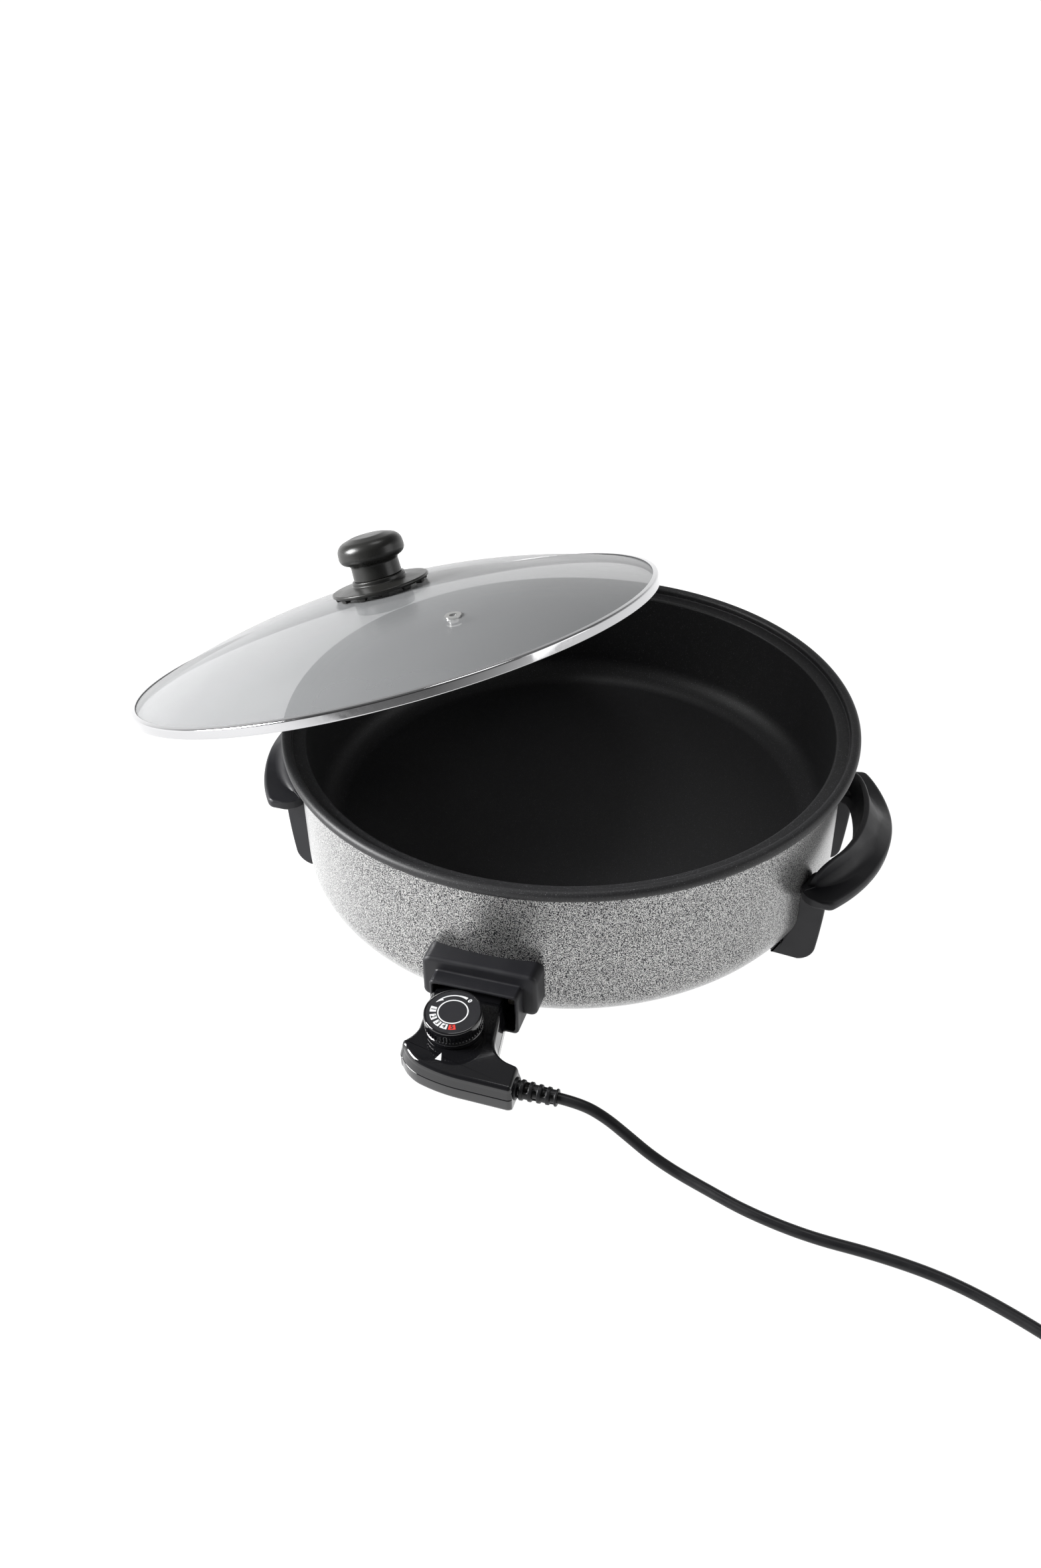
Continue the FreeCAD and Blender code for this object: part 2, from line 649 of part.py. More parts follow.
CONTROL_LOW = S["plug_height"] - S["control_below"]
PARTING = S["plug_height"] - S["parting_below"]
FACE_TOP = S["plug_height"] + S["face_above"]
FACE_FALL = slope(S["face_slope"])
DIAL_REACH = COLLAR_MOUTH + S["dial_setback"]
FACE_AT_DIAL = FACE_TOP - FACE_FALL * S["dial_setback"]
DIAL_POSE = pose(S["dial_x"], -DIAL_REACH, FACE_AT_DIAL, -90.0, S["face_slope"])
LABEL_RADIUS = S["dial_radius"] - S["label_inset"]
CONTROL_START = COLLAR_MOUTH + S["slip_gap"]
CONTROL_FRONT = COLLAR_MOUTH + S["control_length"]
TONGUE_END = COLLAR_MOUTH - S["tongue_length"]
CONTACT_END = COLLAR_MOUTH + S["contact_reach"]
BOOT_Y = S["boot_setback"] - CONTROL_FRONT
SLEEVE_BORE = S["pin_radius"] + S["slip_gap"]
CONTACT_OUTER = SLEEVE_BORE + S["contact_wall"]
PIN_PLACES = (S["plug_x"] - S["pin_spread"], S["plug_x"] + S["pin_spread"])
INSULATOR_HALF = S["window_half_width"] + S["insulator_margin"]
SIDES = (("right", 1), ("left", -1))
ENDS = (("front", -1), ("rear", 1))


# Pan and jacket

def make_inner_pan():
    """The coated pan: floor, drafted wall, lid ledge and rolled rim."""
    floor_radius = S["mouth_radius"] - S["pan_draft"]
    fillet = S["floor_fillet"]
    outer_fillet = fillet + S["pan_wall"]
    top = S["rim_height"]
    ledge = top - S["ledge_drop"]
    points = [
        (0.0, PAN_UNDER),
        (floor_radius - fillet, PAN_UNDER),
        (floor_radius + S["pan_wall"], PAN_UNDER + outer_fillet),
        (S["mouth_radius"] + S["pan_wall"], LEDGE_UNDER),
        (ROLL_MIDDLE - ROLL, LEDGE_UNDER),
        (ROLL_MIDDLE, top - S["rim_roll"]),
        (ROLL_MIDDLE + ROLL, top - ROLL),
        (ROLL_MIDDLE, top),
        (ROLL_MIDDLE - ROLL, top - ROLL),
        (ROLL_MIDDLE - ROLL, ledge),
        (S["mouth_radius"] + S["ledge_round"], ledge),
        (S["mouth_radius"], ledge - S["ledge_round"]),
        (floor_radius, S["floor_height"] + fillet),
        (floor_radius - fillet, S["floor_height"]),
        (0.0, S["floor_height"]),
    ]
    arcs = {
        1: (outer_fillet, 1), 5: (ROLL, 1), 6: (ROLL, 1), 7: (ROLL, 1),
        10: (S["ledge_round"], 1), 12: (fillet, -1),
    }
    return part(turned("inner_pan", points, arcs), "inner_pan")


def jacket_outside(grown):
    """Outline of the jacket's outside from its underside up, moved out by a gap."""
    radius = S["jacket_corner"] + grown
    points = [
        (CORNER_MIDDLE, S["jacket_base"] - grown),
        (CORNER_MIDDLE + radius, CORNER_HEIGHT),
        (JACKET_RADIUS + grown, LEDGE_UNDER),
    ]
    return points, radius


def jacket_inner_reach(height, across):
    """How far from the pan's middle plane the jacket's inner face lies, at a height and an offset."""
    inner = S["jacket_corner"] - S["jacket_wall"]
    below = CORNER_HEIGHT - height
    if below.number > 0:
        radius = CORNER_MIDDLE + root(inner * inner - below * below)
    else:
        radius = CORNER_MIDDLE + inner
    return root(radius * radius - across * across)


INSULATOR_SIDE = S["plug_x"] - INSULATOR_HALF
INSULATOR_SEAT = jacket_inner_reach(WINDOW_LOW - S["insulator_margin"], INSULATOR_SIDE)
INSULATOR_BACK = INSULATOR_SEAT - S["slip_gap"] - S["insulator_thick"]
PIN_ROOT = INSULATOR_BACK - S["seat_gap"]


def make_outer_jacket():
    """The painted jacket with its socket window and screw holes."""
    wall = S["jacket_wall"]
    outside, radius = jacket_outside(size(0.0))
    points = outside + [
        (JACKET_RADIUS - wall, LEDGE_UNDER),
        (CORNER_MIDDLE + radius - wall, CORNER_HEIGHT),
        (CORNER_MIDDLE, S["jacket_base"] + wall),
        (FLANGE_INNER, S["jacket_base"] + wall),
        (FLANGE_INNER, S["jacket_base"]),
    ]
    sheet = turned("jacket_sheet", points, {0: (radius, 1), 4: (radius - wall, -1)})
    window = block(
        "jacket_window",
        (S["plug_x"] - S["window_half_width"], S["plug_x"] + S["window_half_width"]),
        (-JACKET_RADIUS - wall, -HOUSING_BACK),
        (WINDOW_LOW, WINDOW_TOP),
    )
    holes = [window]
    hole = S["screw_radius"] + S["seat_gap"]
    for name, spot in foot_screw_places():
        holes.append(rod("jacket_hole_" + name, hole, S["foot_screw_length"], spot))
    for name, spot in grip_screw_places():
        holes.append(rod("jacket_hole_" + name, hole, S["grip_screw_length"], spot))
    for name, spot in socket_screw_places():
        holes.append(rod("jacket_hole_" + name, hole, S["socket_screw_length"], spot))
    return part(cut("outer_jacket", sheet, holes), "outer_jacket")


def make_base_plate():
    """The plate that closes the jacket from below, with a ring of vent holes."""
    owner = body("base_plate")
    disc = sketch(owner, "plate_disc", "XY_Plane", PLATE_UNDER)
    ring(disc, 0.0, 0.0, PLATE_RADIUS)
    ring(disc, 0.0, 0.0, S["stud_radius"] + S["slip_gap"])
    pad(owner, disc, S["base_plate_thick"] - S["seat_gap"])
    hole = sketch(owner, "plate_vent", "XY_Plane", PLATE_UNDER)
    ring(hole, PLATE_RADIUS - S["vent_inset"], 0.0, S["vent_hole_radius"])
    vent = pocket(owner, hole, S["base_plate_thick"], backwards=True)
    pattern = owner.newObject("PartDesign::PolarPattern", "plate_vents")
    pattern.Originals = [vent]
    pattern.Axis = (hole, ["N_Axis"])
    pattern.Angle = FULL_TURN
    pattern.Occurrences = VENT_HOLE_COUNT
    owner.Tip = pattern
    return part(owner, "base_plate")


def make_heat_plate():
    """The aluminium plate pressed on under the pan's floor."""
    owner = body("heat_plate")
    disc = sketch(owner, "heat_disc", "XY_Plane", HEAT_UNDER)
    ring(disc, 0.0, 0.0, HEAT_RADIUS)
    pad(owner, disc, S["heat_plate_thick"])
    return part(owner, "heat_plate")


def bend_of_element(x, side):
    """Where a straight end of the element starts to bend, and where its bend meets the ring."""
    bend = S["element_bend"]
    reach = ELEMENT_RING + bend
    across = x + bend * side
    depth = -root(reach * reach - across * across)
    share = ELEMENT_RING / reach
    return (x, depth), (across * share, depth * share)


def make_heating_element():
    """The tubular element: an open ring whose straight ends run to the socket."""
    owner = body("heating_element")
    left, right = PIN_PLACES
    height = S["plug_height"]
    start_bend, start_ring = bend_of_element(right, 1)
    end_bend, end_ring = bend_of_element(left, -1)
    turn = ELEMENT_RING
    points = [
        (right, -PIN_ROOT), start_bend, start_ring, (turn, 0.0), (0.0, turn), (-turn, 0.0),
        end_ring, end_bend, (left, -PIN_ROOT),
    ]
    arcs = {
        1: (S["element_bend"], -1), 2: (turn, 1), 3: (turn, 1), 4: (turn, 1), 5: (turn, 1),
        6: (S["element_bend"], -1),
    }
    path = outline(sketch(owner, "element_path", "XY_Plane", height), points, arcs, closed=False)
    profile = sketch(owner, "element_profile", "XZ_Plane", PIN_ROOT)
    ring(profile, right, height, S["element_radius"] - S["element_gap"])
    DOC.recompute()
    pipe = owner.newObject("PartDesign::AdditivePipe", "element_tube")
    pipe.Profile = (profile, [""])
    pipe.Spine = (path, ["Edge%d" % number for number in range(1, len(points))])
    pipe.Mode = "Frenet"
    return part(owner, "heating_element")


def make_element_clamps():
    """Clips that hold the element's ring up against the heat plate."""
    owner = body("element_clamps")
    sheet = S["clamp_sheet"]
    middle = ELEMENT_RING
    inner = S["element_radius"] + S["slip_gap"]
    outer = inner + sheet
    low = S["plug_height"] - inner
    top = HEAT_UNDER - S["seat_gap"]
    foot = S["clamp_foot"]
    points = [
        (middle - outer - foot, top - sheet), (middle - outer, top - sheet),
        (middle - outer, low - sheet), (middle + outer, low - sheet),
        (middle + outer, top - sheet), (middle + outer + foot, top - sheet),
        (middle + outer + foot, top), (middle + inner, top),
        (middle + inner, low), (middle - inner, low),
        (middle - inner, top), (middle - outer - foot, top),
    ]
    drawing = outline(sketch(owner, "clamp_outline", "XZ_Plane"), points)
    clip = revolve(owner, drawing, angle=S["clamp_angle"])
    around(owner, clip, drawing, CLAMP_COUNT)
    return part(owner, "element_clamps")


def make_centre_stud():
    """The stud on the heat plate that the base plate hangs from."""
    top = HEAT_UNDER - S["seat_gap"]
    points = [
        (0.0, S["stud_end"]), (S["stud_radius"], S["stud_end"]),
        (S["stud_radius"], top - S["stud_flange_thick"]),
        (S["stud_flange_radius"], top - S["stud_flange_thick"]),
        (S["stud_flange_radius"], top), (0.0, top),
    ]
    return part(turned("centre_stud", points), "centre_stud")


def make_centre_nut():
    """The hexagon nut on that stud."""
    owner = body("centre_nut")
    drawing = sketch(owner, "nut_outline", "XY_Plane", PLATE_UNDER - S["seat_gap"])
    corner = S["nut_flats"] / 2 / cosine(30.0)
    points = []
    for number in range(6):
        angle = 60.0 * number
        points.append((corner * cosine(angle), corner * sine(angle)))
    outline(drawing, points)
    ring(drawing, 0.0, 0.0, S["stud_radius"] + S["turn_gap"])
    pad(owner, drawing, S["nut_thick"], backwards=True)
    return part(owner, "centre_nut")


# Socket

def socket_screw_places():
    """Seats of the four screws that hold the socket housing, pointing outward."""
    across = S["flange_half_width"] - S["socket_screw_side"]
    low = FLANGE_LOW + S["socket_screw_edge"]
    high = FLANGE_TOP - S["socket_screw_edge"]
    head = S["screw_head_radius"]
    seat = jacket_inner_reach(low - head, across + head) - S["seat_gap"]
    places = []
    for side, sign in SIDES:
        for level, height in (("low", low), ("high", high)):
            places.append(("socket_%s_%s" % (side, level), pose(across * sign, -seat, height, -90.0, 90.0)))
    return places


def make_socket_housing():
    """The black housing round the pins: a flange on the wall and a collar for the control."""
    owner = body("socket_blank")
    half = S["flange_half_width"]
    flange = sketch(owner, "flange_outline", "XZ_Plane", HOUSING_BACK)
    rounded(flange, -half, half, FLANGE_LOW, FLANGE_TOP, S["flange_round"])
    pad(owner, flange, FLANGE_FRONT - HOUSING_BACK)
    collar = sketch(owner, "collar_outline", "XZ_Plane", HOUSING_BACK)
    wide = S["collar_half_width"]
    rounded(collar, -wide, wide, COLLAR_LOW, COLLAR_TOP, S["collar_round"])
    pad(owner, collar, COLLAR_MOUTH - HOUSING_BACK)
    mouth = sketch(owner, "collar_bore", "XZ_Plane", HOUSING_BACK - 1.0)
    wall = S["collar_wall"]
    inside = wide - wall
    outline(mouth, [
        (-inside, COLLAR_LOW + wall), (inside, COLLAR_LOW + wall),
        (inside, COLLAR_TOP - wall), (-inside, COLLAR_TOP - wall),
    ])
    pocket(owner, mouth, COLLAR_MOUTH - HOUSING_BACK + 2.0, backwards=True)
    outside, radius = jacket_outside(S["seat_gap"])
    seat = sketch(owner, "housing_seat", "XZ_Plane")
    low = S["jacket_base"] - S["seat_gap"]
    outline(seat, outside + [(0.0, LEDGE_UNDER), (0.0, low)], {0: (radius, 1)})
    groove(owner, seat)
    hole = S["screw_radius"] + S["seat_gap"]
    length = S["socket_screw_length"] + S["slip_gap"]
    holes = [rod("housing_hole_" + name, hole, length, spot) for name, spot in socket_screw_places()]
    return part(cut("socket_housing", owner, holes), "socket_housing")


def make_socket_insulator():
    """The plate that carries the pins in the jacket's window."""
    margin = S["insulator_margin"]
    half = S["window_half_width"]
    low, high = WINDOW_LOW, WINDOW_TOP
    front = -INSULATOR_BACK - S["insulator_thick"]
    plate = block(
        "insulator_plate", (S["plug_x"] - INSULATOR_HALF, S["plug_x"] + INSULATOR_HALF),
        (front, -INSULATOR_BACK), (low - margin, high + margin),
    )
    gap = S["slip_gap"]
    raised = block(
        "insulator_raised", (S["plug_x"] - half + gap, S["plug_x"] + half - gap),
        (-JACKET_RADIUS - S["insulator_nose"], front + 1.0), (low + gap, high - gap),
    )
    reach = JACKET_RADIUS + S["insulator_nose"] - PIN_ROOT
    holes = []
    for number, x in enumerate(PIN_PLACES):
        spot = pose(x, -PIN_ROOT, S["plug_height"], -90.0, 90.0)
        holes.append(rod("insulator_pin_hole_%d" % number, S["pin_radius"] + S["seat_gap"], reach, spot))
    probe_spot = pose(S["plug_x"], -PIN_ROOT, S["plug_height"], -90.0, 90.0)
    holes.append(rod("insulator_probe_hole", S["probe_radius"] + S["slip_gap"], reach, probe_spot))
    earth_spot = pose(S["plug_x"], -PIN_ROOT, EARTH_HEIGHT, -90.0, 90.0)
    holes.append(rod("insulator_earth_hole", S["earth_radius"] + S["seat_gap"], reach, earth_spot))
    return part(cut("socket_insulator", joined("insulator_form", [plate, raised]), holes), "socket_insulator")


def make_terminal_pins():
    """The two contact pins, on from the ends of the element."""
    pins = []
    for number, x in enumerate(PIN_PLACES):
        spot = pose(x, -PIN_ROOT, S["plug_height"], -90.0, 90.0)
        pins.append(rod("pin_%d" % number, S["pin_radius"], PIN_END - PIN_ROOT, spot))
    return part(group("terminal_pins", pins), "terminal_pins")


def make_earth_pin():
    """The earth pin above the probe."""
    spot = pose(S["plug_x"], -PIN_ROOT, EARTH_HEIGHT, -90.0, 90.0)
    return part(rod("earth_pin", S["earth_radius"], PIN_END - PIN_ROOT, spot), "earth_pin")


def make_probe_sleeve():
    """The tube under the heat plate that the probe slides into."""
    spot = pose(S["plug_x"], -SLEEVE_END, S["plug_height"], -90.0, 90.0)
    bore = S["probe_radius"] + S["slip_gap"]
    outer = HEAT_UNDER - S["plug_height"] - S["seat_gap"]
    length = INSULATOR_BACK - SLEEVE_END
    return part(tube("probe_sleeve", outer, bore, length, spot), "probe_sleeve")


def make_socket_screws():
    """The screws of the socket housing."""
    screws = []
    for name, spot in socket_screw_places():
        screws.append(screw(
            name, S["screw_radius"], S["socket_screw_length"],
            S["screw_head_radius"], S["screw_head_thick"], spot,
        ))
    return part(group("socket_screws", screws), "socket_screws")


# Grips and legs

def grip_screw_places():
    """Seats of the screws that come out through the jacket into the grips."""
    height = S["grip_under_height"] + S["grip_screw_rise"]
    seat = jacket_inner_reach(height, S["screw_head_radius"]) - S["seat_gap"]
    places = []
    for side, middle in (("right", 0.0), ("left", 180.0)):
        for end, sign in ENDS:
            azimuth = middle + S["grip_screw_azimuth"] * sign
            spot = pose(seat * cosine(azimuth), seat * sine(azimuth), height, azimuth, 90.0)
            places.append(("grip_%s_%s" % (side, end), spot))
    return places


def grip_section(y):
    """One cross-section of a grip: crest, hollow, outer edge, underside, end pad and inner side."""
    value = {name: S[name].number for name in S if name.startswith("grip_")}
    half = value["grip_half_length"]
    away = abs(y)

    def curve(apex, radius, at=away):
        return apex - radius + math.sqrt(radius * radius - at * at)

    def share(start, end):
        return min(max((away - start) / (end - start), 0.0), 1.0)

    wall = JACKET_RADIUS.number
    under = value["grip_under_height"]
    edge = under + value["grip_edge_rise"]
    pad_top = edge - value["grip_pad_drop"]
    top = edge + value["grip_crest_rise"]
    corner = value["grip_end_round"]
    outer_apex = wall + value["grip_reach"]
    into_corner = max(away - (half - corner), 0.0)
    outer = curve(outer_apex, value["grip_outer_curve"]) - corner
    outer += math.sqrt(max(corner * corner - into_corner * into_corner, 0.0))
    bend = value["grip_bend_run"]
    drawn = max(away - bend, 0.0) / (value["grip_crest_end"] - bend)
    crest = curve(wall + value["grip_crest_reach"], value["grip_crest_curve"])
    crest -= value["grip_crest_draw"] * drawn * drawn
    fallen = share(value["grip_crest_run"], value["grip_crest_end"])
    crest_low = pad_top + GRIP_STEP
    crest_height = crest_low + (top - crest_low) * math.sqrt(1 - fallen ** 3)
    sunk = share(value["grip_dish_run"], value["grip_dish_end"])
    sunk = sunk * sunk * (3 - 2 * sunk)
    hollow = crest + GRIP_DISH_PLACE * (outer - crest) * (1 - sunk) + GRIP_STEP * sunk
    slope_height = top + GRIP_DISH_PLACE * (edge - top) - value["grip_dish_depth"]
    hollow_height = slope_height + (pad_top - slope_height) * sunk
    padded = share(value["grip_pad_start"], value["grip_pad_start"] + value["grip_pad_run"])
    leg_share = min(away / (S["leg_side"].number - S["slip_gap"].number), 1.0)
    under_inner = under - value["grip_belly_drop"] * (1 - leg_share * leg_share)
    inner = curve(wall + value["grip_inner_reach"], value["grip_inner_curve"])
    crest_inner = crest - value["grip_crest_width"]

    def inner_side(height):
        return inner + (crest_inner - inner) * (height - under_inner) / (crest_height - under_inner)

    buried = wall - S["jacket_corner"].number
    foot = pad_top + GRIP_FOOT_RISE * (1 - padded)
    foot_x = inner_side(foot) * (1 - padded) + (crest_inner - GRIP_FOOT_SETBACK) * padded
    pad_x = inner_side(pad_top) * (1 - padded) + buried * padded
    points = [
        (inner * (1 - padded) + buried * padded, under_inner), (pad_x, pad_top),
        (foot_x, foot), (crest_inner, crest_height), (crest, crest_height),
        (hollow, hollow_height),
    ]
    start = half - value["grip_inner_round"]
    if away > start:
        nose = curve(outer_apex, value["grip_outer_curve"], half) - corner - value["grip_end_flat"]
        along = (away - start) / value["grip_inner_round"]
        reach = nose - math.sqrt(max(1 - along * along, 0.0)) * (nose - math.sqrt(wall * wall - start * start))
        points = [(max(x, reach + GRIP_STEP * number), z) for number, (x, z) in enumerate(points)]
    points += [(outer, edge), (outer - GRIP_UNDER_SETBACK, under)]
    return [Vector(x, y, z) for x, z in points]


def grip_blank():
    """The grip as a loft through its sections, from one end to the other."""
    half = S["grip_half_length"].number
    leg = S["leg_side"].number - S["slip_gap"].number
    crest_end = S["grip_crest_end"].number
    start = half - S["grip_inner_round"].number
    stations = [leg * share for share in (0.0, 0.35, 0.65, 0.85, 1.0)]
    stations += [leg + (crest_end - leg) * share for share in (0.25, 0.5, 0.7, 0.85, 0.94, 1.0)]
    stations += [start + (half - start) * share for share in (0.0, 0.15, 0.35, 0.55, 0.75, 0.88, 0.96, 1.0)]
    ys = [-y for y in reversed(stations[1:])] + stations
    return Part.makeLoft([Part.makePolygon(grip_section(y) + grip_section(y)[:1]) for y in ys], True, True)


def make_handles():
    """Both grips, fitted to the jacket and drilled for their screws."""
    grip = DOC.addObject("Part::Feature", "grip_form")
    grip.Shape = grip_blank()
    outside, radius = jacket_outside(S["seat_gap"])
    low = S["jacket_base"] - S["seat_gap"]
    points = outside + [(0.0, LEDGE_UNDER), (0.0, low)]
    seat = turned("grip_seat", points, {0: (radius, 1)})
    holes = [seat]
    for name, spot in grip_screw_places()[:2]:
        hole = S["screw_radius"] + S["seat_gap"]
        holes.append(rod("handle_hole_" + name, hole, S["grip_screw_length"] + S["slip_gap"], spot))
    right = part(cut("handle_right", grip, holes), "handle_right")
    left = DOC.addObject("Part::Mirroring", "handle_left")
    left.Source = right
    left.Normal = Vector(1, 0, 0)
    part(left, "handle_left")


def make_grip_screws():
    """The screws of the grips, heads inside the jacket."""
    screws = []
    for name, spot in grip_screw_places():
        screws.append(screw(
            name, S["screw_radius"], S["grip_screw_length"],
            S["screw_head_radius"], S["screw_head_thick"], spot,
        ))
    return part(group("grip_screws", screws), "grip_screws")


def foot_screw_places():
    """Seats of the screws that hold the legs' tabs up to the jacket."""
    places = []
    y = S["leg_side"] + S["leg_width"] / 2
    height = S["jacket_base"] - S["seat_gap"] - S["leg_tab_thick"]
    reach = JACKET_RADIUS - S["leg_sole_setback"] - S["leg_sole_length"] - S["leg_tab_length"]
    reach += S["foot_screw_inset"]
    for side, sign in SIDES:
        for end, toward in ENDS:
            spot = pose(reach * sign, y * toward, height)
            places.append(("foot_%s_%s" % (side, end), spot))
    return places


def leg_points(sign):
    """Side outline of a leg, for the right or the left of the pan, with its two curved edges."""
    tab_top = S["jacket_base"] - S["seat_gap"]
    tab_low = tab_top - S["leg_tab_thick"]
    outer = JACKET_RADIUS + S["leg_proud"]
    sole = JACKET_RADIUS - S["leg_sole_setback"]
    heel = sole - S["leg_sole_length"]
    tab_end = heel - S["leg_tab_length"]
    top = S["grip_under_height"] - S["seat_gap"]
    inner = JACKET_RADIUS - S["leg_sink"]
    points = [
        (outer, top), (outer - S["leg_lean"], S["leg_toe_height"]), (sole, 0.0), (heel, 0.0),
        (heel, tab_low), (tab_end, tab_low), (tab_end, tab_top), (heel + 2.0, tab_top),
        (inner, S["leg_knee_height"]), (inner, top),
    ]
    if sign > 0:
        return points, {0: (S["leg_bow"], -1), 1: (S["leg_toe_round"], -1)}
    points = [(-x, z) for x, z in reversed(points)]
    return points, {8: (S["leg_bow"], -1), 7: (S["leg_toe_round"], -1)}


def make_leg(side, sign, end, toward):
    """One leg: an upright plate with a foot and a tab that is screwed under the jacket."""
    name = "leg_%s_%s" % (end, side)
    owner = body(name + "_blank")
    offset = S["leg_side"] if toward < 0 else -S["leg_side"] - S["leg_width"]
    plate = outline(sketch(owner, name + "_outline", "XZ_Plane", offset), *leg_points(sign))
    pad(owner, plate, S["leg_width"])
    outside, radius = jacket_outside(S["seat_gap"])
    points = outside + [(0.0, LEDGE_UNDER), (0.0, S["jacket_base"] - S["seat_gap"])]
    groove(owner, outline(sketch(owner, name + "_seat", "XZ_Plane"), points, {0: (radius, 1)}))
    spots = dict(foot_screw_places())
    spot = spots["foot_%s_%s" % (side, end)]
    hole = rod(name + "_hole", S["screw_radius"] + S["seat_gap"], S["foot_screw_length"], spot)
    return part(cut(name, owner, [hole]), name)


def make_foot_screws():
    """The screws under the legs' tabs."""
    screws = []
    for name, spot in foot_screw_places():
        screws.append(screw(
            name, S["screw_radius"], S["foot_screw_length"],
            S["screw_head_radius"], S["screw_head_thick"], spot,
        ))
    return part(group("foot_screws", screws), "foot_screws")


# Lid, drawn upright about its own axis from the lower edge of its band, then leaned into place

def glass_values():
    """Edge radius, curve and curve's centre height of the glass."""
    edge = LID_RADIUS - S["glass_inset"]
    rise = GLASS_APEX - GLASS_EDGE
    curve = (edge * edge + rise * rise) / (2 * rise)
    return edge, curve, GLASS_APEX - curve


def glass_top(reach):
    """Height of the glass's upper face at a distance from the lid's axis."""
    edge, curve, centre = glass_values()
    return centre + root(curve * curve - size(reach) * size(reach))


def glass_under(reach):
    """Height of the glass's lower face at a distance from the lid's axis."""
    edge, curve, centre = glass_values()
    inner = curve - S["glass_thick"]
    return centre + root(inner * inner - size(reach) * size(reach))


def vent_pose():
    """The steam vent's axis, square to the glass at its upper face."""
    edge, curve, centre = glass_values()
    reach = S["vent_reach"]
    lean = arc_sine(reach / curve)
    azimuth = S["vent_azimuth"]
    local = pose(reach * cosine(azimuth), reach * sine(azimuth), glass_top(reach), azimuth, lean)
    return LID_POSE + " * " + local


def make_lid_glass():
    """The domed glass with its knob hole and vent hole."""
    edge, curve, centre = glass_values()
    inner = curve - S["glass_thick"]
    share = inner / curve
    points = [
        (0.0, GLASS_APEX - S["glass_thick"]),
        (edge * share, centre + (GLASS_EDGE - centre) * share),
        (edge, GLASS_EDGE),
        (0.0, GLASS_APEX),
    ]
    dome = turned("glass_dome", points, {0: (inner, -1), 2: (curve, 1)}, LID_POSE)
    depth = S["glass_thick"] * 3
    hole = rod("glass_hole", S["glass_hole"], GLASS_APEX * 2, LID_POSE)
    down = vent_pose() + " * " + pose(z=-depth / 2)
    vent = rod("glass_vent_hole", S["vent_tube"] + S["seat_gap"], depth, down)
    return part(cut("lid_glass", dome, [hole, vent]), "lid_glass")


def make_lid_rim():
    """The steel band, folded in over and under the edge of the glass."""
    outer = LID_RADIUS
    sheet = S["band_sheet"]
    lip = outer - S["band_lip"]
    gap = S["slip_gap"]
    shoulder = S["band_height"] - sheet
    wall = outer - sheet - sheet / 2
    points = [
        (lip, 0.0), (outer - sheet, 0.0), (outer, sheet), (outer, shoulder),
        (outer - sheet, S["band_height"]), (lip, glass_top(lip) + gap + sheet),
        (lip, glass_top(lip) + gap), (wall, GLASS_EDGE),
        (wall, sheet), (lip, sheet),
    ]
    return part(turned("lid_rim", points, placement=LID_POSE), "lid_rim")


def make_lid_seal():
    """The soft ring that beds the glass in the band."""
    edge, curve, centre = glass_values()
    gap = S["seat_gap"]
    wall = LID_RADIUS - S["band_sheet"] * 3 / 2 - gap
    lip = LID_RADIUS - S["band_lip"] + gap
    low = S["band_sheet"] + gap
    share = (curve - S["glass_thick"]) / curve
    under = edge * share
    points = [
        (lip, low), (wall, low), (wall, GLASS_EDGE - gap), (edge + gap, GLASS_EDGE - gap),
        (under + gap, glass_under(under) - gap), (lip, glass_under(lip) - gap),
    ]
    return part(turned("lid_seal", points, placement=LID_POSE), "lid_seal")


def make_knob_base():
    """The plate under the knob, with teeth round its edge that stand on the glass."""
    owner = body("knob_base")
    gap = S["seat_gap"]
    bore = S["knob_screw_radius"] + gap
    collar = S["knob_collar_radius"]
    edge = S["knob_base_radius"]
    under = KNOB_PLATE_TOP - S["inner_cap_wall"]
    points = [
        (bore, GLASS_APEX + gap), (collar, glass_top(bore) + gap), (collar, under - 1.0),
        (edge - 1.0, under - 0.5), (edge, under + 0.5), (edge, KNOB_PLATE_TOP - 0.6),
        (edge - 1.2, KNOB_PLATE_TOP), (collar + 1.0, KNOB_PLATE_TOP + 1.2),
        (collar, KNOB_PLATE_TOP + 2.0), (collar, KNOB_COLLAR_TOP - 0.8),
        (collar - 0.8, KNOB_COLLAR_TOP), (bore, KNOB_COLLAR_TOP),
    ]
    plate = outline(sketch(owner, "knob_base_outline", "XZ_Plane"), points)
    revolve(owner, plate)
    tooth = sketch(owner, "knob_tooth_outline", "XZ_Plane")
    low = glass_top(edge - 6.5) + gap
    outline(tooth, [(edge - 6.5, low), (edge - 1.6, low), (edge - 1.6, under + 1.0), (edge - 6.5, under + 1.0)])
    DOC.recompute()
    bump = revolve(owner, tooth, angle=TOOTH_ANGLE)
    around(owner, bump, tooth, TOOTH_COUNT)
    place(owner, LID_POSE)
    return part(owner, "knob_base")


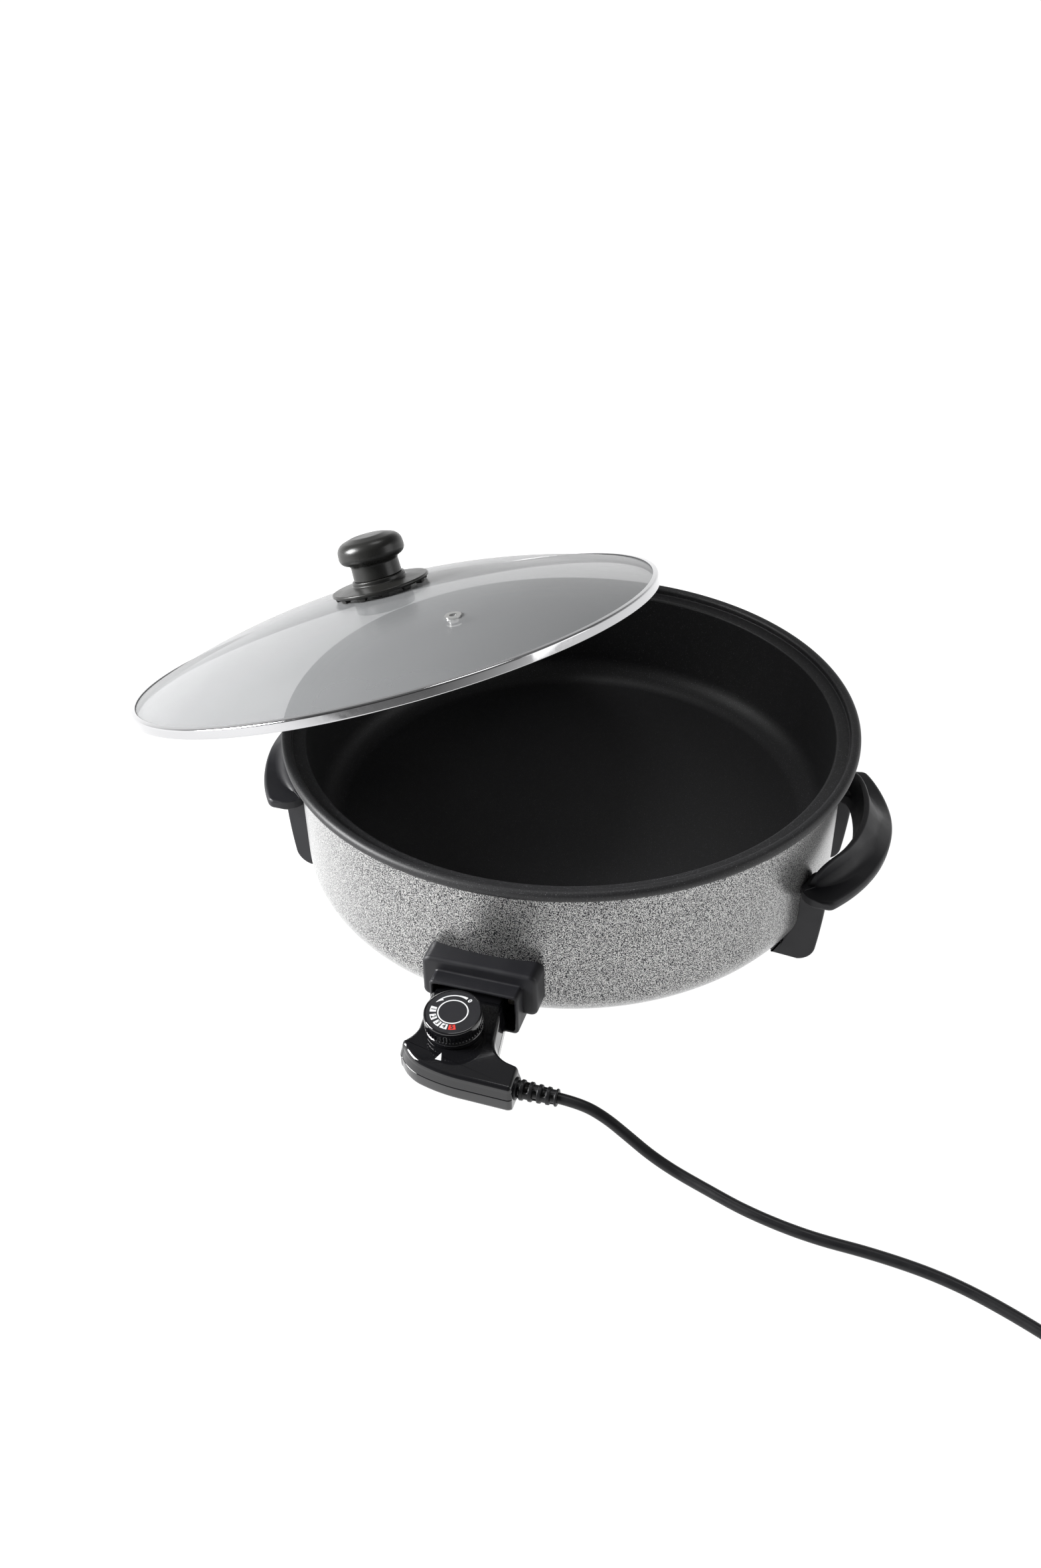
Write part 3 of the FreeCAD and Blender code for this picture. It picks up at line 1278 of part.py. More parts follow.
def make_lid_knob():
    """The mushroom knob."""
    neck = S["knob_neck_radius"]
    wide = S["knob_radius"]
    low = KNOB_COLLAR_TOP + S["seat_gap"]
    bore = S["knob_screw_radius"] + S["seat_gap"]
    flare = KNOB_NECK_TOP
    middle = flare + S["knob_wide_rise"]
    top = middle + S["knob_top_rise"]
    bore_top = KNOB_SCREW_END + S["slip_gap"]
    crown = S["knob_crown"]
    crown_x = wide * 0.62
    crown_z = top - crown + root(crown * crown - crown_x * crown_x)
    points = [
        (bore, low), (neck, low), (neck - 0.3, flare), (wide - 2.6, flare + 3.4), (wide, middle),
        (crown_x, crown_z), (0.0, top), (0.0, bore_top), (bore, bore_top),
    ]
    arcs = {2: (S["knob_flare"], -1), 3: (S["knob_cheek"], 1), 4: (S["knob_shoulder"], 1), 5: (crown, 1)}
    return part(turned("lid_knob", points, arcs, LID_POSE), "lid_knob")


def make_knob_inner_cap():
    """The clear cup under the glass that clamps the knob."""
    gap = S["seat_gap"]
    edge = S["inner_cap_radius"]
    wall = S["inner_cap_wall"]
    bore = S["knob_screw_radius"] + gap
    top = glass_under(edge) - gap
    low = top - S["inner_cap_depth"]
    points = [
        (bore, top - wall), (edge - wall, top - wall), (edge - wall, low), (edge - wall / 3, low),
        (edge, low + wall / 3), (edge, top), (bore, top),
    ]
    return part(turned("knob_inner_cap", points, placement=LID_POSE), "knob_inner_cap")


def make_knob_screw():
    """The screw through cup, glass and knob."""
    seat = glass_under(S["inner_cap_radius"]) - S["seat_gap"] * 2 - S["inner_cap_wall"]
    spot = LID_POSE + " * " + pose(z=seat)
    length = KNOB_SCREW_END - seat
    head = S["knob_screw_radius"] * 2
    return part(
        screw("knob_screw", S["knob_screw_radius"], length, head, S["knob_screw_radius"], spot), "knob_screw"
    )


def make_lid_vent():
    """The eyelet that lets steam out."""
    gap = S["seat_gap"]
    thick = S["vent_flange_thick"]
    length = S["glass_thick"] + 2 * (thick + gap)
    low = vent_pose() + " * " + pose(z=-(S["glass_thick"] + thick + gap))
    high = vent_pose() + " * " + pose(z=gap)
    form = joined("vent_form", [
        rod("vent_tube_form", S["vent_tube"], length, low),
        rod("vent_lower_flange", S["vent_flange"], thick, low),
        rod("vent_upper_flange", S["vent_flange"], thick, high),
    ])
    return part(cut("lid_vent", form, [rod("vent_bore_form", S["vent_bore"], length, low)]), "lid_vent")


# Control

def control_outline(grown, start):
    """Outline of the control from above, moved out by a distance, from the neck's end round."""
    left = S["plug_x"] - S["neck_half_width"]
    right = S["plug_x"] + S["neck_half_width"]
    front = -CONTROL_FRONT
    end = S["control_end_x"]
    spots = [
        (left, -start, -1.0, 0.0), (left + 2.3, front + 32.6, -1.0, 0.0),
        (left - 3.5, front + 20.6, -1.0, 0.3), (left - 0.9, front + 15.4, -0.9, -0.6),
        (left + 12.7, front + 5.1, -0.4, -1.0), (end - 29.8, front + 0.6, 0.0, -1.0),
        (end - 2.9, front, 0.0, -1.0), (end, front + 2.9, 1.0, 0.0),
        (end - 1.0, front + 17.6, 1.0, 0.0), (end - 3.9, front + 20.3, 0.3, 1.0),
        (end - 9.4, front + 21.6, 0.4, 1.0), (right + 4.1, front + 35.6, 1.0, 0.4),
        (right, -start, 1.0, 0.0),
    ]
    points = [(x + across * grown, y + along * grown) for x, y, across, along in spots]
    arcs = {
        1: (20.0 - grown, -1), 2: (5.0 + grown, 1), 3: (29.0 + grown, 1), 4: (106.0 + grown, 1),
        6: (3.2 + grown, 1), 8: (3.4 + grown, 1), 10: (18.0 - grown, -1),
    }
    return points, arcs


def case_screw_spots():
    """Places of the screws that close the control's case, from above."""
    return [
        (S["plug_x"] - S["case_screw_side"], S["case_screw_front"] - CONTROL_FRONT),
        (S["control_end_x"] - S["case_screw_end"], S["case_screw_corner"] - CONTROL_FRONT),
        (S["plug_x"], -CONTACT_END - S["case_screw_back"]),
    ]


def make_control_top():
    """The upper shell: sloping face, hollow inside, with the tongue that enters the collar."""
    owner = body("control_top_blank")
    high = FACE_TOP + 3.0
    points, arcs = control_outline(size(0.0), CONTROL_START)
    shell = outline(sketch(owner, "control_top_outline", "XY_Plane", PARTING), points, arcs)
    pad(owner, shell, high - PARTING)
    wedge = sketch(owner, "control_face", "YZ_Plane")
    back = -CONTROL_START + 2.0
    front = -CONTROL_FRONT - 4.0
    drop = FACE_FALL * (CONTROL_FRONT + 4.0 - COLLAR_MOUTH)
    outline(wedge, [
        (front, FACE_TOP - drop), (back, FACE_TOP + FACE_FALL * 1.7),
        (back, high + 1.0), (front, high + 1.0),
    ])
    pocket(owner, wedge, CONTROL_FRONT, symmetric=True)
    wall = S["shell_wall"]
    inner_points, inner_arcs = control_outline(-wall, CONTROL_START + wall)
    ceiling = FACE_TOP - FACE_FALL * S["control_length"] - wall
    hollow = sketch(owner, "control_top_hollow", "XY_Plane", PARTING)
    outline(hollow, inner_points, inner_arcs)
    pocket(owner, hollow, ceiling - PARTING, backwards=True)
    return part(cut("control_top", control_top_form(owner, ceiling), control_top_cuts()), "control_top")


def control_top_form(shell, ceiling):
    """The shell with its tongue and screw pillars."""
    tongue = block(
        "control_tongue",
        (S["plug_x"] - S["tongue_half_width"], S["plug_x"] + S["tongue_half_width"]),
        (-CONTROL_START - S["shell_wall"], -TONGUE_END),
        (S["plug_height"] - S["tongue_below"], S["plug_height"] + S["tongue_above"]),
    )
    pillars = []
    base = PARTING + S["seat_gap"]
    for number, (x, y) in enumerate(case_screw_spots()):
        height = ceiling - base + 0.5
        pillars.append(rod("control_pillar_%d" % number, S["case_pillar"], height, pose(x, y, base)))
    return joined("control_top_form", [shell, tongue] + pillars)


def control_top_cuts():
    """Holes of the upper shell for pins, probe, earth, spindle, screws and cord."""
    length = CONTACT_END - TONGUE_END
    tools = []
    for number, x in enumerate(PIN_PLACES):
        spot = pose(x, -TONGUE_END, S["plug_height"], -90.0, 90.0)
        tools.append(rod("tongue_pin_hole_%d" % number, CONTACT_OUTER + S["seat_gap"], length, spot))
    probe = pose(S["plug_x"], -TONGUE_END, S["plug_height"], -90.0, 90.0)
    tools.append(rod("tongue_probe_hole", S["probe_radius"] + S["seat_gap"], length, probe))
    earth = pose(S["plug_x"], -TONGUE_END, EARTH_HEIGHT, -90.0, 90.0)
    earth_outer = S["earth_radius"] + S["slip_gap"] + S["contact_wall"]
    tools.append(rod("tongue_earth_hole", earth_outer + S["seat_gap"], length, earth))
    down = DIAL_POSE + " * " + pose(z=-S["spindle_depth"])
    tools.append(rod("face_spindle_hole", S["spindle_radius"] + S["slip_gap"], S["spindle_depth"] * 2, down))
    for number, (x, y) in enumerate(case_screw_spots()):
        spot = pose(x, y, PARTING - 1.0)
        reach = S["case_screw_length"] - 2.5
        tools.append(rod("pillar_hole_%d" % number, S["case_screw_radius"] + S["seat_gap"], reach, spot))
    tools.append(boot_hole("control_top_boot_hole"))
    return tools


def boot_hole(name):
    """The hole that the strain relief's neck fills in the end wall."""
    reach = S["shell_wall"] * 2 + S["lower_bulge"]
    spot = pose(S["control_end_x"] - S["shell_wall"] - 1.5, BOOT_Y, PARTING, 0.0, 90.0)
    return rod(name, S["boot_neck"] + S["seat_gap"], reach, spot)


def make_control_bottom():
    """The lower shell: a tray with bosses for the case screws."""
    owner = body("control_bottom_blank")
    wall = S["shell_wall"]
    bulge = S["lower_bulge"]
    start = CONTROL_START + wall + S["slip_gap"]
    top = PARTING - S["seat_gap"]
    points, arcs = control_outline(bulge, start)
    floor = CONTROL_LOW
    tray = outline(sketch(owner, "control_bottom_outline", "XY_Plane", floor), points, arcs)
    pad(owner, tray, top - floor)
    inner_points, inner_arcs = control_outline(bulge - wall, start - 1.0)
    hollow = sketch(owner, "control_bottom_hollow", "XY_Plane", floor + wall)
    outline(hollow, inner_points, inner_arcs)
    pocket(owner, hollow, top - floor, backwards=True)
    pieces = [owner]
    tools = [boot_hole("control_bottom_boot_hole")]
    head_seat = floor + wall + S["case_screw_radius"]
    for number, (x, y) in enumerate(case_screw_spots()):
        pieces.append(rod("tray_boss_%d" % number, S["case_pillar"] + 1.0, top - floor, pose(x, y, floor)))
        tools.append(rod("tray_recess_%d" % number, S["case_screw_head"] + S["slip_gap"],
                         head_seat - floor, pose(x, y, floor)))
        tools.append(rod("tray_hole_%d" % number, S["case_screw_radius"] + S["seat_gap"],
                         top - floor, pose(x, y, floor)))
    return part(cut("control_bottom", joined("control_bottom_form", pieces), tools), "control_bottom")


def make_case_screws():
    """The screws that hold the two shells together, in from below."""
    seat = CONTROL_LOW + S["shell_wall"] + S["case_screw_radius"] - S["seat_gap"]
    screws = []
    for number, (x, y) in enumerate(case_screw_spots()):
        screws.append(screw(
            "case_screw_%d" % number, S["case_screw_radius"], S["case_screw_length"],
            S["case_screw_head"], S["case_screw_radius"], pose(x, y, seat),
        ))
    return part(group("case_screws", screws), "case_screws")


def make_probe():
    """The temperature probe that reaches under the pan."""
    start = CONTACT_END + 1.0
    spot = pose(S["plug_x"], -start, S["plug_height"], 90.0, 90.0)
    shank = rod("probe_shank", S["probe_radius"], start - PROBE_END, spot)
    collar_length = start - CONTROL_START - S["shell_wall"] - S["seat_gap"]
    collar = rod("probe_collar", S["probe_radius"] + S["probe_shoulder"], collar_length, spot)
    return part(joined("probe", [shank, collar]), "probe")


def make_contact_sleeves():
    """The two spring sleeves that grip the pins."""
    length = CONTACT_END - TONGUE_END - 1.0
    sleeves = []
    for number, x in enumerate(PIN_PLACES):
        spot = pose(x, -TONGUE_END - 1.0, S["plug_height"], -90.0, 90.0)
        sleeves.append(tube("contact_%d" % number, CONTACT_OUTER, SLEEVE_BORE, length, spot))
    return part(group("contact_sleeves", sleeves), "contact_sleeves")


def make_earth_contact():
    """The sleeve that meets the earth pin."""
    spot = pose(S["plug_x"], -TONGUE_END - 1.0, EARTH_HEIGHT, -90.0, 90.0)
    bore = S["earth_radius"] + S["slip_gap"]
    length = CONTROL_START + S["shell_wall"] - TONGUE_END - 1.0
    return part(tube("earth_contact", bore + S["contact_wall"], bore, length, spot), "earth_contact")


def make_thermostat_base():
    """The insulating base in the control, with the guide of the dial's spindle."""
    low = CONTROL_LOW + S["shell_wall"] + S["seat_gap"]
    half = S["pin_spread"] + S["arm_half_width"] + 1.0
    base = block(
        "thermostat_block", (S["plug_x"] - half, S["plug_x"] + half - 8.0),
        (-DIAL_REACH - S["base_past_dial"], -CONTACT_END - S["base_setback"]),
        (low, S["plug_height"] - S["arm_below"] - S["seat_gap"]),
    )
    guide = DIAL_POSE + " * " + pose(z=-S["spindle_depth"])
    sunk = DIAL_POSE + " * " + pose(z=-S["spindle_depth"] - S["guide_sink"])
    boss = rod("spindle_guide", S["spindle_radius"] * 2, S["guide_height"], sunk)
    bore = rod("spindle_guide_bore", S["spindle_radius"] + S["turn_gap"], S["spindle_depth"], guide)
    return part(cut("thermostat_base", joined("thermostat_form", [base, boss]), [bore]), "thermostat_base")


def make_contact_arms():
    """The flat arms that carry the current from the sleeves back over the base."""
    low = S["plug_height"] - S["arm_below"]
    arms = []
    for number, x in enumerate(PIN_PLACES):
        arms.append(block(
            "arm_%d" % number, (x - S["arm_half_width"], x + S["arm_half_width"]),
            (-CONTACT_END - S["arm_length"], -CONTACT_END), (low, low + S["arm_thick"]),
        ))
    return part(group("contact_arms", arms), "contact_arms")


def make_strain_relief():
    """The ribbed boot of the cord, held in the end wall."""
    owner = body("strain_relief")
    wall_inside = S["control_end_x"] - S["shell_wall"] - S["slip_gap"] * 4
    wall_outside = S["control_end_x"] + S["lower_bulge"] + S["slip_gap"]
    neck = S["boot_neck"]
    points = [
        (wall_inside - 3.5, 0.0), (wall_inside - 3.5, S["boot_flange"] - 1.0),
        (wall_inside, S["boot_flange"] - 1.0), (wall_inside, neck), (wall_outside, neck),
    ]
    step = (S["boot_end"] - wall_outside) / (2 * BOOT_RIBS - 1)
    fall = (S["boot_radius"] - S["boot_tip_radius"]) / (2 * BOOT_RIBS - 1)
    for number in range(BOOT_RIBS):
        start = wall_outside + step * (2 * number)
        radius = S["boot_radius"] - fall * (2 * number)
        points += [(start, radius), (start + step, radius - fall)]
        if number < BOOT_RIBS - 1:
            groove_radius = radius - S["boot_groove"]
            points += [(start + step, groove_radius), (start + step * 2, groove_radius)]
    points.append((S["boot_end"], 0.0))
    drawing = outline(sketch(owner, "boot_outline", "XZ_Plane"), points)
    revolve(owner, drawing, "H_Axis")
    place(owner, pose(0.0, BOOT_Y, PARTING))
    return part(owner, "strain_relief")


# Dial

def make_dial_knob():
    """The dial, hollow below, with a recess for its printed disc."""
    edge = S["dial_radius"]
    low = S["dial_lift"]
    top = S["dial_height"]
    skirt = S["dial_skirt"]
    recess = LABEL_RADIUS + S["seat_gap"]
    floor = top - S["label_thick"] - S["seat_gap"] * 2
    bore = S["spindle_radius"] + S["seat_gap"]
    bore_top = floor - 4.0
    points = [
        (bore, low), (edge - 0.6, low), (edge, low + 0.6), (edge, skirt - 0.6), (edge - 0.6, skirt),
        (edge - 0.6, skirt + 0.8), (edge, skirt + 1.4), (edge, top - 0.9), (edge - 0.9, top),
        (recess, top), (recess, floor), (0.0, floor), (0.0, bore_top), (bore, bore_top),
    ]
    return part(turned("dial_knob", points, placement=DIAL_POSE), "dial_knob")


def make_dial_label():
    """The disc with the figures."""
    height = S["dial_height"] - S["label_thick"] - S["seat_gap"]
    spot = DIAL_POSE + " * " + pose(z=height)
    return part(rod("dial_label", LABEL_RADIUS, S["label_thick"], spot), "dial_label")


def make_dial_spindle():
    """The spindle from the dial down to its guide."""
    top = S["dial_height"] - S["label_thick"] - S["seat_gap"] * 3 - 4.0
    spot = DIAL_POSE + " * " + pose(z=-S["spindle_depth"] + 0.5)
    length = S["spindle_depth"] + top - 0.5
    return part(rod("dial_spindle", S["spindle_radius"], length, spot), "dial_spindle")


# Cord, coil and plug

def tube_path(points):
    """Straight runs joined by tangent arcs, each as large as its two runs allow."""
    edges = []
    radii = []
    last = points[0]
    for before, corner, after in zip(points, points[1:], points[2:]):
        run_in = (corner - before).Length
        run_out = (after - corner).Length
        into = (before - corner).normalize()
        out = (after - corner).normalize()
        turn = math.pi - into.getAngle(out)
        reach = RUN_SHARE * min(run_in, run_out)
        radius = reach / math.tan(turn / 2)
        start = corner + into * reach
        end = corner + out * reach
        middle = corner + (into + out).normalize() * (math.hypot(radius, reach) - radius)
        edges.append(Part.LineSegment(last, start).toShape())
        edges.append(Part.Arc(start, middle, end).toShape())
        radii.append(round(radius, 1))
        last = end
    edges.append(Part.LineSegment(last, points[-1]).toShape())
    return Part.Wire(edges), radii


def sweep(path, start, direction):
    """A round cord along a path."""
    circle = Part.Wire(Part.Circle(start, direction, S["cord_radius"].number).toShape())
    return path.makePipeShell([circle], True, False)


def cord_node(name, shape):
    """Keeps a stretch of the cord as a sub-part."""
    new = DOC.addObject("Part::Feature", name)
    new.Shape = shape
    return part(new, name)


def make_cord_stretch(name, points):
    """One free stretch of the cord, with its radii and volume printed."""
    path, radii = tube_path(points)
    shape = sweep(path, points[0], points[1] - points[0])
    section = math.pi * S["cord_radius"].number ** 2
    print(name, "length", round(path.Length, 1), "radii", radii)
    print(name, "volume", round(shape.Volume), "section times length", round(section * path.Length))
    return cord_node(name, shape)


def coil_point(angle):
    """Middle of the cord in the coil, after an angle from its start."""
    half = COIL_TURNS * FULL_TURN / 2
    radius = COIL_OUTER - COIL_PITCH * (half - abs(angle - half)) / FULL_TURN
    climb = min(max((angle - half) / COIL_CLIMB + 0.5, 0.0), 1.0)
    height = COIL_HEIGHT + COIL_PITCH * climb * climb * (3 - 2 * climb)
    around_axis = math.radians(COIL_START + angle)
    x = COIL_MIDDLE[0] + radius * math.cos(around_axis)
    y = COIL_MIDDLE[1] + radius * math.sin(around_axis)
    return Vector(x, y, height)


def coil_direction(angle):
    """Direction of the cord at that place."""
    if angle <= 0 or angle >= COIL_TURNS * FULL_TURN:
        around_axis = math.radians(COIL_START + angle)
        return Vector(-math.sin(around_axis), math.cos(around_axis), 0)
    return (coil_point(angle + 1) - coil_point(angle - 1)).normalize()


def biarc(first, first_way, last, last_way):
    """Two tangent arcs between two points with given directions."""
    span = last - first
    ways = first_way + last_way
    spread = 2 * (1 - first_way.dot(last_way))
    along = span.dot(ways)
    reach = (math.sqrt(along * along + spread * span.dot(span)) - along) / spread
    joint = (first + last) / 2 + (first_way - last_way) * (reach / 2)
    return [arc_from(first, first_way, joint), arc_from(joint, None, last, last_way)]


def arc_from(first, first_way, last, last_way=None):
    """An arc through two points with its direction known at one of them."""
    if first_way is None:
        return arc_from(last, last_way * -1, first)
    span = last - first
    side = span - first_way * span.dot(first_way)
    side.normalize()
    radius = span.dot(span) / (2 * span.dot(side))
    middle_point = first + side * radius
    half_way = (first - middle_point).normalize() + (last - middle_point).normalize()
    top = middle_point + half_way.normalize() * radius
    return Part.Arc(first, top, last).toShape()


def make_cord_coil():
    """The spare cord: one unbroken tube in two layers of loops."""
    total = COIL_TURNS * FULL_TURN
    stops = [COIL_STEP * number for number in range(int(total / COIL_STEP) + 1)]
    diameter = 2 * S["cord_radius"].number
    start = coil_point(0) - coil_direction(0) * diameter
    end = coil_point(total) + coil_direction(total) * diameter
    edges = [Part.LineSegment(start, coil_point(0)).toShape()]
    for before, after in zip(stops, stops[1:]):
        edges += biarc(coil_point(before), coil_direction(before), coil_point(after), coil_direction(after))
    edges.append(Part.LineSegment(coil_point(total), end).toShape())
    path = Part.Wire(Part.__sortEdges__(edges))
    shape = sweep(path, start, coil_direction(0))
    print("cord_coil length", round(path.Length, 1), "least gap to itself", round(self_gap(path, diameter), 2))
    section = math.pi * (diameter / 2) ** 2
    print("cord_coil volume", round(shape.Volume), "section times length", round(section * path.Length))
    cord_node("cord_coil", shape)
    return start, end


def self_gap(path, diameter):
    """Least gap between turns, measured on points along the cord's middle."""
    count = 300
    points = path.discretize(Number=count)
    skip = int(count * 8 * diameter / path.Length)
    least = diameter * 10
    for number, first in enumerate(points):
        for second in points[number + skip:]:
            least = min(least, (first - second).Length)
    return least - diameter


def make_cord_tie():
    """The band that holds the coil's turns together."""
    cord = S["cord_radius"].number
    thick = S["tie_thick"].number
    inner = COIL_OUTER - COIL_PITCH * COIL_TURNS / 2 - cord - TIE_CLEARANCE
    outer = COIL_OUTER + cord + TIE_CLEARANCE
    low = COIL_HEIGHT - cord - (COIL_HEIGHT - cord - thick) / 2
    high = COIL_HEIGHT + COIL_PITCH + cord + TIE_CLEARANCE
    width = S["tie_width"].number
    outside = Part.makeBox(outer - inner + 2 * thick, width, high - low + 2 * thick)
    outside.translate(Vector(inner - thick, -width / 2, low - thick))
    inside = Part.makeBox(outer - inner, width, high - low, Vector(inner, -width / 2, low))
    band = outside.cut(inside)
    band.rotate(Vector(0, 0, 0), Vector(0, 0, 1), TIE_AZIMUTH)
    band.translate(Vector(COIL_MIDDLE[0], COIL_MIDDLE[1], 0))
    return cord_node("cord_tie", band)


def plug_pose():
    """The plug lies on the table where the cord's tail ends."""
    x, y, z = TAIL_ROUTE[-1]
    return pose(x, y, z, 90.0, 90.0)


def make_plug_body():
    """The moulded plug with its own tapered strain relief."""
    boot = S["plug_boot_length"]
    wide = S["plug_radius"]
    end = boot + S["plug_length"]
    points = [
        (0.0, 0.0), (S["cord_radius"] + 1.2, 0.0), (S["cord_radius"] + 3.5, boot),
        (wide * 0.72, boot + 4.0), (wide * 0.8, boot + 14.0), (wide, boot + 20.0),
        (wide, end - 1.0), (wide - 1.0, end), (0.0, end),
    ]
    return part(turned("plug_body", points, placement=plug_pose()), "plug_body")


def make_plug_pins():
    """The two pins of the plug."""
    front = S["plug_boot_length"] + S["plug_length"] + TOLERANCE
    pins = []
    for side, sign in SIDES:
        spot = plug_pose() + " * " + pose(S["plug_pin_spread"] * sign, 0.0, front)
        pins.append(rod("plug_pin_" + side, S["plug_pin_radius"], S["plug_pin_length"], spot))
    return part(group("plug_pins", pins), "plug_pins")


def make_plug_earth_clips():
    """The spring contacts on the plug's two flanks."""
    front = S["plug_boot_length"] + S["plug_length"] + TOLERANCE
    clips = []
    for side, sign in SIDES:
        spot = plug_pose() + " * " + pose(0.0, (S["plug_radius"] - 3.0) * sign, front)
        clips.append(rod("plug_clip_" + side, 1.6, 2.0, spot))
    return part(group("plug_earth_clips", clips), "plug_earth_clips")


def make_cord():
    """The free cord from the control to the plug."""
    start, end = make_cord_coil()
    make_cord_stretch("cord_lead", [Vector(*point) for point in LEAD_ROUTE] + [start])
    make_cord_stretch("cord_tail", [end] + [Vector(*point) for point in TAIL_ROUTE])


def build():
    """Every sub-part, from the pan outwards."""
    make_inner_pan()
    make_outer_jacket()
    make_base_plate()
    make_heat_plate()
    make_heating_element()
    make_element_clamps()
    make_centre_stud()
    make_centre_nut()
    make_socket_housing()
    make_socket_insulator()
    make_terminal_pins()
    make_earth_pin()
    make_probe_sleeve()
    make_socket_screws()
    make_handles()
    make_grip_screws()
    for side, sign in SIDES:
        for end, toward in ENDS:
            make_leg(side, sign, end, toward)
    make_foot_screws()
    make_lid_glass()
    make_lid_rim()
    make_lid_seal()
    make_knob_base()
    make_lid_knob()
    make_knob_inner_cap()
    make_knob_screw()
    make_lid_vent()
    make_control_top()
    make_control_bottom()
    make_case_screws()
    make_probe()
    make_contact_sleeves()
    make_earth_contact()
    make_thermostat_base()
    make_contact_arms()
    make_strain_relief()
    make_dial_knob()
    make_dial_label()
    make_dial_spindle()
    make_cord()
    make_cord_tie()
    make_plug_body()
    make_plug_pins()
    make_plug_earth_clips()
    DOC.recompute()


def check_and_write():
    """Stops on any failed object or bad shape, then writes one file for each sub-part."""
    for thing in DOC.Objects:
        if "Invalid" in thing.State or "Error" in thing.State:
            raise RuntimeError("%s failed: %s" % (thing.Name, thing.State))
    os.makedirs("parts", exist_ok=True)
    for thing in PARTS:
        shape = thing.Shape
        if shape.isNull() or not shape.isValid() or not shape.Solids:
            raise RuntimeError("%s has no valid solid" % thing.Label)
    for thing in PARTS:
        thing.Shape.exportStep("parts/%s.step" % thing.Label)
    print(len(PARTS), "sub-parts written")


build()
check_and_write()
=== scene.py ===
import math

import bmesh
import bpy
from mathutils import Matrix, Vector


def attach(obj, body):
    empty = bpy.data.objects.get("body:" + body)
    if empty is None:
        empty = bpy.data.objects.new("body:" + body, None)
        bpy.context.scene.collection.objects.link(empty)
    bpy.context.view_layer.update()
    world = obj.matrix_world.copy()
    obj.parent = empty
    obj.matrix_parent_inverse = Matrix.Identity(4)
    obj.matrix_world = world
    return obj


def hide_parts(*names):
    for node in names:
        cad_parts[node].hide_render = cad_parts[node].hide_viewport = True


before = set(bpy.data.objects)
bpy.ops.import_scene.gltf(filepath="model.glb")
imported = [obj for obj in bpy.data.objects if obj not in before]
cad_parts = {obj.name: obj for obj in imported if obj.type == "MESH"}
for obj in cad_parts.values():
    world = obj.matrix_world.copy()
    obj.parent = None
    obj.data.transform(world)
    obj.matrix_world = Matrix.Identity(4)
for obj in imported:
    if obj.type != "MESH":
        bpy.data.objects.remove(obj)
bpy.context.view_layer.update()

# Electric skillet. Shapes are in millimetres in the model's frame, and MM turns them into metres.
MM = 0.001

# The photograph's camera: size and focal length in pixels, place in metres, angles in degrees
PHOTO_HEIGHT = 2361
FOCAL_PIXELS = 2424.4
SENSOR = 36.0
CAMERA_PLACE = (0.2702, -0.9268, 0.7560)
CAMERA_AZIMUTH = 18.4
CAMERA_ELEVATION = 35.45
CAMERA_ROLL = 1.03

# Pan and jacket
RIM_TOP = 131.0
RIM_UNDER = 123.7
RIM_RADIUS = 205.0
LEDGE_RADIUS = 197.7
LEDGE_HEIGHT = 125.5
PAN_UNDER = 46.0
PAN_FLOOR = 51.0
JACKET_TOP = 122.5
JACKET_RADIUS = 195.0
JACKET_FOOT_RADIUS = 192.97
JACKET_CORNER = 29.6
JACKET_BASE = 9.0
JACKET_TAPER = 1.5
JACKET_THICK = 1.5
JACKET_OPENING = 128.0
JACKET_STEPS = 14

# Room left between the jacket and what lies on it
SEAT = 0.1

# Grips: reach from the pan's axis, heights from the table, and the radii of their curves seen from above
GRIP_HALF = 80.0
GRIP_ROUND = 3.0
GRIP_LIP = 2.2
GRIP_APEX = 234.2
GRIP_APEX_CURVE = 130.0
GRIP_CREST = 216.0
GRIP_CREST_CURVE = 120.0
GRIP_INNER = 207.0
GRIP_INNER_CURVE = 113.0
GRIP_UNDER = 59.5
GRIP_BELLY = 3.5
GRIP_EDGE = 67.5
GRIP_PAD = 66.0
GRIP_TOP = 84.0
GRIP_DISH = 75.6
FIN_THICK = 3.5
FIN_DRAW = 5.4
NOSE_LENGTH = 13.0

# Where a change along a grip starts, counted from its middle, and the length over which it takes place
FIN_DRAWN_IN = (38.0, 26.5)
FIN_FALLS = (44.0, 20.5)
HOLLOW_FADES = (8.0, 50.0)
PAD_WIDENS = (45.0, 13.0)
UNDERSIDE_LEVELS = (0.0, 52.7)

# Legs
LEG_START = 53.0
LEG_WIDTH = 12.0
LEG_EDGE = 1.4
LEG_OUTER = 200.2
LEG_INNER = 176.0
FOOT_REACH = 185.0
FOOT_THICK = 4.1

# Socket housing, seen from the front, and its reach from the pan's axis
FLANGE_HALF = 39.0
FLANGE_LOW = 33.0
FLANGE_HIGH = 66.0
FLANGE_CORNER = 6.0
FLANGE_FRONT = 207.0
FLANGE_EDGE = 3.0
COLLAR_HALF = 30.0
COLLAR_LOW = 25.5
COLLAR_HIGH = 57.0
COLLAR_CORNER = 3.0
COLLAR_WALL = 2.5
CREASE = 0.6

# Lid: middle of the band's lower edge, lean and direction of the lean
LID_MIDDLE = (-134.0, 8.5, RIM_TOP + 31.3)
LID_LEAN = 21.8
LID_AZIMUTH = 146.0
LID_RADIUS = 196.0
GLASS_EDGE = 194.0
GLASS_EDGE_HEIGHT = 6.0
GLASS_APEX = 40.2
GLASS_THICK = 4.0
GLASS_STEPS = 24
BAND_LIP = 192.2
BAND_INSIDE = 194.8
BAND_SHOULDER = 7.0
BAND_THICK = 0.8

